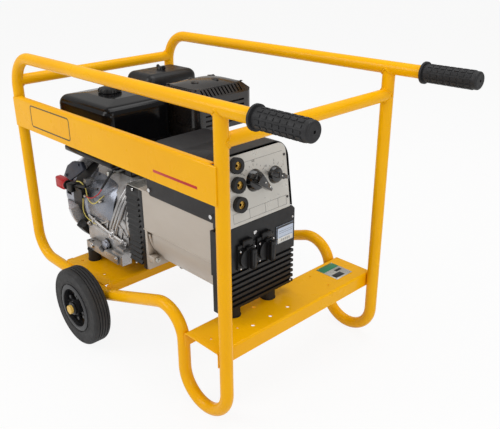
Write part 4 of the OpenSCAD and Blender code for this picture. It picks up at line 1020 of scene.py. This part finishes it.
bm = bmesh.new()
for knob, r0, r1, count, start, end in ((KNOB_1, 34, 38, 13, 205, -25),
                                        (KNOB_2, 25, 29, 5, 150, 30)):
    for i in range(count):
        longer = 2 if i % 3 == 0 else 0
        turn = Matrix.Rotation(math.radians(start + (end - start) * i / (count - 1)), 4, "Z")
        printed(bm, r1 + longer - r0, 0.9, on_panel(*knob, FOIL_UP) @ turn
                @ Matrix.Translation(((r0 + r1) / 2 * MM, 0, 0)))
for y0, y1, h0, h1 in ((-150, 20, 30.0, 30.5), (-150, 20, 8.0, 8.5), (-150, -149.4, 8, 30),
                       (-100, -99.4, 8, 30), (-50, -49.4, 8, 30), (-8, -7.4, 8, 30),
                       (19.5, 20, 8, 30), (-104, 18, 138, 138.5)):
    printed(bm, y1 - y0, h1 - h0, on_panel((y0 + y1) / 2, (h0 + h1) / 2, FOIL_UP))
add_piece("panel_ticks", bm, "grey_print")

# %% [markdown]
# ## Figures
# The figures are text objects that are made into meshes first and placed afterwards, so the
# finished objects sit at the origin. Only plain figures are printed.

# %% Figures
SOCKETS = (49, 94, 138)


def figure(name, text, size, place):
    """A figure of a few millimetres as a flat mesh on a surface given by its matrix."""
    curve = bpy.data.curves.new(name, "FONT")
    curve.body = text
    curve.size = size * MM
    curve.align_x = "CENTER"
    curve.align_y = "CENTER"
    curve.extrude = 0.06 * MM
    maker = bpy.data.objects.new(name + "_text", curve)
    scene.collection.objects.link(maker)
    bpy.context.view_layer.update()
    depsgraph = bpy.context.evaluated_depsgraph_get()
    mesh = bpy.data.meshes.new_from_object(maker.evaluated_get(depsgraph))
    bpy.data.objects.remove(maker)
    mesh.transform(place)
    mesh.materials.clear()
    mesh.materials.append(finishes["grey_print"])
    place_piece(name, mesh, "machine")


for i in range(5):
    place = round_knob(KNOB_1, 44, 205 - 230 * i / 4)
    figure(f"scale_figure_{i}", str(i * 45 + 10), 6.5, on_panel(*place, FOIL_UP))
for i, angle in enumerate((150, 90, 30)):
    figure(f"range_figure_{i}", str(i + 1), 7, on_panel(*round_knob(KNOB_2, 34, angle), FOIL_UP))
for i, h in enumerate(SOCKETS[:2]):
    figure(f"socket_figure_{i}", str(i + 1), 8, on_panel(-106, h - 16, FOIL_UP))

# %% [markdown]
# ## Panel screws and socket collars
# The panel is held by small dark screws at its edge, and each welding socket has a ribbed collar
# of black nylon round its brass insert.

# %% Panel screws
SOCKET_Y, COLLAR_R, COLLAR_STEPS = -130, 17.2, 48


def panel_part(bm, place, profile):
    """A turned part that stands on the panel at a place (y, h) and lift."""
    turned(bm, tuple(on_panel(*place).translation / MM), tuple(OUT), profile, 24)


bm = bmesh.new()
for y in (24, -168):
    for h in (26, 128):
        panel_part(bm, (y, h), [(0, 1.0), (1.2, 1.2), (2.0, 2.2), (3.0, 1.2), (3.2, 0), (0, 0)])
add_piece("panel_screws", bm, "dark_steel")
bm = bmesh.new()
for h in SOCKETS:
    panel_part(bm, (SOCKET_Y, h, 7.4), [(3.4, -6), (3.4, -1.6), (6.4, -0.6), (7.4, 1.2), (9.2, 1.2),
                                        (9.8, 0.2), (9.8, -6), (3.4, -6)])
add_piece("socket_rings", bm, "brass")
bm = bmesh.new()
for h in SOCKETS:
    angles = [360 * i / COLLAR_STEPS for i in range(COLLAR_STEPS)]
    ring = [on_panel(*round_knob((SOCKET_Y, h), COLLAR_R, a), 6.5).translation / MM for a in angles]
    sweep(bm, ring, [0.9 if i % 2 else 1.5 for i in range(COLLAR_STEPS)], sides=6, closed=True)
add_piece("socket_collars", bm, "black_plastic")

# %% [markdown]
# ## Outlets
# Each outlet has a square flange with four screws, a hinge hood, and a sprung lid with a raised
# latch bar. The bar rides on the lid.

# %% Outlet details
face_x = box_mm("outlet_bodies")[1][0]
OUTLETS = [(side, *box_mm(side + "_outlet_lid"), middle(side + "_outlet_lid")[1])
           for side in ("left", "right")]
bm = bmesh.new()
for _, low, high, y in OUTLETS:
    for dy in (-22.5, 22.5):
        for z in (low[2] + 5, high[2] - 8):
            pan_screw(bm, (face_x + 0.2, y + dy, z), (1, 0, 0), 2.6)
pan_screw(bm, (224.4, -84, 397), (1, 0, 0), 5.5)
for y, z in ((-186, 420), (-186, 226), (38, 226), (42, 398)):
    pan_screw(bm, (224.2, y, z), (1, 0, 0), 3.0)
add_piece("cover_screws", bm, "bright_steel")
bm = bmesh.new()
for _, low, high, y in OUTLETS:
    z = high[2]
    block(bm, (face_x - 9, y - 14, z - 1.4), (face_x + 1.2, y + 17, z + 15), edge=2.5, segments=3)
    block(bm, (face_x - 9, y - 27, z - 3), (face_x - 2.5, y + 27, z + 6), edge=2)
add_piece("outlet_hoods", bm, "black_plastic")
for side, low, high, y in OUTLETS:
    x, z = high[0], low[2]
    bm = bmesh.new()
    block(bm, (x - 1.5, y - 1, z + 1), (x + 10, y + 13, high[2] - 6), edge=2, segments=3)
    block(bm, (x + 9, y + 2.5, z + 6), (x + 11.2, y + 9.5, high[2] - 14), edge=0.8)
    for up in (0, 2.6, 5.2):
        block(bm, (x + 9, y - 0.4, z + 3 + up), (x + 10.9, y + 12.4, z + 4.2 + up), edge=0.3)
    add_piece(side + "_latch_bar", bm, "black_plastic", body=side + "_outlet_lid")

# %% [markdown]
# ## Hour meter
# The meter's window has a dark frame with three rules, a paler lower band and figures.

# %% Hour meter
_, y0, z0 = box_mm("hour_meter")[0]
x, y1, z1 = box_mm("hour_meter")[1]
bm = bmesh.new()
for low, high in (((y0, z0), (y1, z0 + 1.6)), ((y0, z1 - 4), (y1, z1)),
                  ((y0, z0), (y0 + 1.6, z1)), ((y1 - 1.6, z0), (y1, z1))):
    block(bm, (x - 0.5, *low), (x + 1.2, *high), edge=0.4)
for z in (z0 + 17, z0 + 27, z0 + 32):
    block(bm, (x - 0.2, y0 + 6, z), (x + 0.15, y1 - 6, z + 0.6), edge=0)
add_piece("meter_frame", bm, "grey_print")
bm = bmesh.new()
block(bm, (x - 0.2, y0 + 2, z0 + 2), (x + 0.2, y1 - 2, z0 + 15), edge=0.1)
add_piece("meter_band", bm, "white_print")
meter_turn = Matrix(((0, 0, 1, 0), (1, 0, 0, 0), (0, 1, 0, 0), (0, 0, 0, 1)))
figure("meter_digits", "0 0 0 0 0", 8.5,
       Matrix.Translation(at_mm(x + 0.35, (y0 + y1) / 2, z0 + 8.5)) @ meter_turn)

# %% [markdown]
# ## Wheels
# The rim has a wide rolled ring that holds the tyre, and a nylon collar sits under the hub cap. The
# tyre's wall has two fine moulded rings. They turn with the wheel, so they ride on its body.

# %% Wheel rings
BUTTONS, BUTTON_R, WALL_RINGS = 6, 36, (74, 98)
for side, name in ((-1, "left"), (1, "right")):
    wheel_x, _, wheel_z = middle(name + "_rim")
    outer = box_mm(name + "_rim")[side > 0][1]
    hub, axis = (wheel_x, outer, wheel_z), (0, side, 0)
    bm = bmesh.new()
    turned(bm, hub, axis, [(53, -9), (53.5, 0.6), (55, 2.2), (58, 2.6), (61, 1.4), (64, 1.6),
                           (66, 0.6), (66.4, -4), (60, -9), (53, -9)], 72)
    for k in range(BUTTONS):
        a = math.radians(30 + 60 * k)
        place = (wheel_x + BUTTON_R * math.cos(a), outer - side * 8,
                 wheel_z + BUTTON_R * math.sin(a))
        turned(bm, place, axis, [(0, 1.5), (4.4, 1.5), (5.5, 0.5), (6, -3), (0, -3)], 18)
    add_piece(name + "_rim_ring", bm, "rim_plastic", body=name + "_wheel")
    bm = bmesh.new()
    for r in WALL_RINGS:
        turned(bm, hub, axis, [(r - 1.6, -1), (r - 0.8, 0.5), (r, 0.7), (r + 0.8, 0.5),
                               (r + 1.6, -1)], 72)
    add_piece(name + "_tyre_rings", bm, "tyre_rubber", body=name + "_wheel")
collar_y = box_mm("hub_caps")[1][1] - 16
bm = bmesh.new()
for side in (-1, 1):
    turned(bm, (wheel_x, side * collar_y, wheel_z), (0, side, 0),
           [(12.2, 0), (17, 0), (18.5, 2), (18.5, 6), (16, 8.5), (12.2, 9), (12.2, 0)], 12)
add_piece("hub_collars", bm, "black_plastic")

# %% [markdown]
# ## Fuel tank and filler cap
# The tank is two pressings welded along a flange, which shows as a fine rolled bead, and it sits in
# a shallow pan. The filler cap is a low drum with gripping lobes.

# %% Tank seam and cap
low_tk, high_tk = box_mm("fuel_tank")
SEAM_Z, CAP_LOBES, LOBE_R = 533.0, 12, 27
bm = bmesh.new()
sweep(bm, round_ring("fuel_tank", 26, 1, SEAM_Z), 1.5, sides=6, closed=True)
block(bm, (low_tk[0] + 12, low_tk[1] + 7, low_tk[2] - 8),
      (high_tk[0] - 12, high_tk[1] - 9, low_tk[2] + 8), edge=5, segments=3)
add_piece("tank_seam", bm, "tank_paint")
x, y, _ = middle("fuel_cap")
z = box_mm("fuel_cap")[0][2]
bm = bmesh.new()
turned(bm, (x, y, z), (0, 0, 1), [(0, 15), (17, 15), (20, 13.5), (22, 13), (26, 12), (28, 9),
                                  (28.5, 1), (0, 1)], 48)
for k in range(CAP_LOBES):
    a = math.radians(30 * k)
    turned(bm, (x + LOBE_R * math.cos(a), y + LOBE_R * math.sin(a), z + 1), (0, 0, 1),
           [(0, 10), (3.4, 10), (4.4, 8.6), (4.6, 0), (0, 0)], 12)
block(bm, (x - 20, y - 4, z + 13), (x + 20, y + 4, z + 17.5), edge=2)
cap = add_piece("filler_cap", bm, "black_plastic", body="fuel_cap")
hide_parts("fuel_cap")

# %% [markdown]
# ## Air cleaner knob
# The air cleaner is closed by a wing knob, whose two ears are flattened drums on a central boss.

# %% Wing knob
x, y, _ = middle("air_cleaner_knob")
z = box_mm("air_cleaner_knob")[0][2]
bm = bmesh.new()
turned(bm, (x, y, z), (0, 0, 1), [(0, 8.5), (7, 8.5), (9.5, 6.5), (11, 0.2), (0, 0.2)], 28)
for ear_x in (x - 14, x + 14):
    turned(bm, (ear_x, y, z + 6), (0, 1, 0),
           [(0, 3), (5.5, 3), (6.8, 1.6), (6.8, -1.6), (5.5, -3), (0, -3)], 24)
    block(bm, (min(x, ear_x), y - 3, z + 1.2), (max(x, ear_x), y + 3, z + 8), edge=1.5)
wing = add_piece("wing_knob", bm, "black_plastic", body="air_cleaner_knob")
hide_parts("air_cleaner_knob")

# %% [markdown]
# ## The silencer's shield
# The shield's top is a low dome with four pressed pads and small screws. The dome falls away to its
# edges by a power a little over two, and its outline is a square with full sides. A sheet
# guard with three beads hangs from the shield's near side.

# %% Domed shield
# The warm brown tone that drifts into the black is a painted reflection.
finish("shield_paint", (20, 19, 20), (34, 28, 24), (0.18, 0.3), grain=500, bump=0.04, gloss=0.5,
       coat=0.2)
CROWN_RISE, CROWN_IN, CROWN_POWER, CORNER_PULL = 12.0, 21.0, 2.6, 0.16
low_mc, high_mc = box_mm("muffler_cover")
top = high_mc[2]
mid_x, mid_y, _ = middle("muffler_cover")
half_x, half_y = (high_mc[0] - low_mc[0]) / 2 - CROWN_IN, (high_mc[1] - low_mc[1]) / 2 - CROWN_IN


def dome(u, v):
    """The dome's height at u and v, which run from -1 to 1 across it."""
    return top - 0.6 + CROWN_RISE * (1 - abs(u)**CROWN_POWER) * (1 - abs(v)**CROWN_POWER)


bm = bmesh.new()
bmesh.ops.create_grid(bm, x_segments=36, y_segments=44, size=1.0)
for vert in bm.verts:
    u, v = vert.co.x, vert.co.y
    vert.co = at_mm(mid_x + half_x * u * math.sqrt(1 - CORNER_PULL * v**4),
                    mid_y + half_y * v * math.sqrt(1 - CORNER_PULL * u**4), dome(u, v))
grown = bmesh.ops.extrude_face_region(bm, geom=bm.faces[:], use_keep_orig=True)
lower = [g for g in grown["geom"] if isinstance(g, bmesh.types.BMVert)]
bmesh.ops.translate(bm, verts=lower, vec=at_mm(0, 0, -1.2))
add_piece("shield_crown", bm, "shield_paint")
dress("muffler_cover", finishes["shield_paint"])
guard_y, guard_z = low_mc[1] - 3.2, low_mc[2]
bm = bmesh.new()
block(bm, (low_mc[0] + 6, guard_y, guard_z - 84), (high_mc[0] - 4, guard_y + 2, guard_z + 16),
      edge=0.6)
for z in (guard_z - 66, guard_z - 44, guard_z - 22):
    sweep(bm, [(x, guard_y, z) for x in (low_mc[0] + 20, mid_x, high_mc[0] - 18)], 1.8)
add_piece("heat_guard", bm, "shield_paint")

# %% [markdown]
# ## Pads and screws on the shield
# Each pad is a pressed ring with a bar across it, and stands on the dome at its own height.

# %% Shield pads
bm = bmesh.new()
for x, y in ((-190, 84), (-150, 60), (-138, 120), (-186, 150)):
    pad = dome((x - mid_x) / half_x, (y - mid_y) / half_y) - 0.6
    turned(bm, (x, y, pad), (0, 0, 1), [(0, 0.2), (5.5, 0.2), (7.2, 1.6), (9, 1.7), (10.5, 0.2),
                                        (10.5, -1.5), (0, -1.5)], 28)
    block(bm, (x - 14, y - 2.5, pad - 1.5), (x + 14, y + 2.5, pad + 1.3), edge=0.5)
add_piece("shield_pads", bm, "black_paint")
bm = bmesh.new()
for y in (low_mc[1] + 22, high_mc[1] - 22):
    for x in (low_mc[0] + 24, high_mc[0] - 24):
        screw(bm, (x, y, top - 0.4), (0, 0, 1), 3.0, 1.2)
add_piece("shield_screws", bm, "dark_steel")

# %% [markdown]
# ## Air cleaner bead
# The cleaner's cover meets its base in a parting bead, and two clips hold it on the side
# towards the panel.

# %% Air cleaner bead
low_ab, high_ab = box_mm("air_cleaner_base")
x, z = high_ab[0], high_ab[2]
bm = bmesh.new()
sweep(bm, round_ring("air_cleaner_base", 20, 0.5, z - 3), 2.0, closed=True)
for y in (low_ab[1] + 60, high_ab[1] - 60):
    block(bm, (x - 2, y - 9, z - 22), (x + 3.5, y + 9, z + 10), edge=1.5)
add_piece("cleaner_bead", bm, "black_plastic")
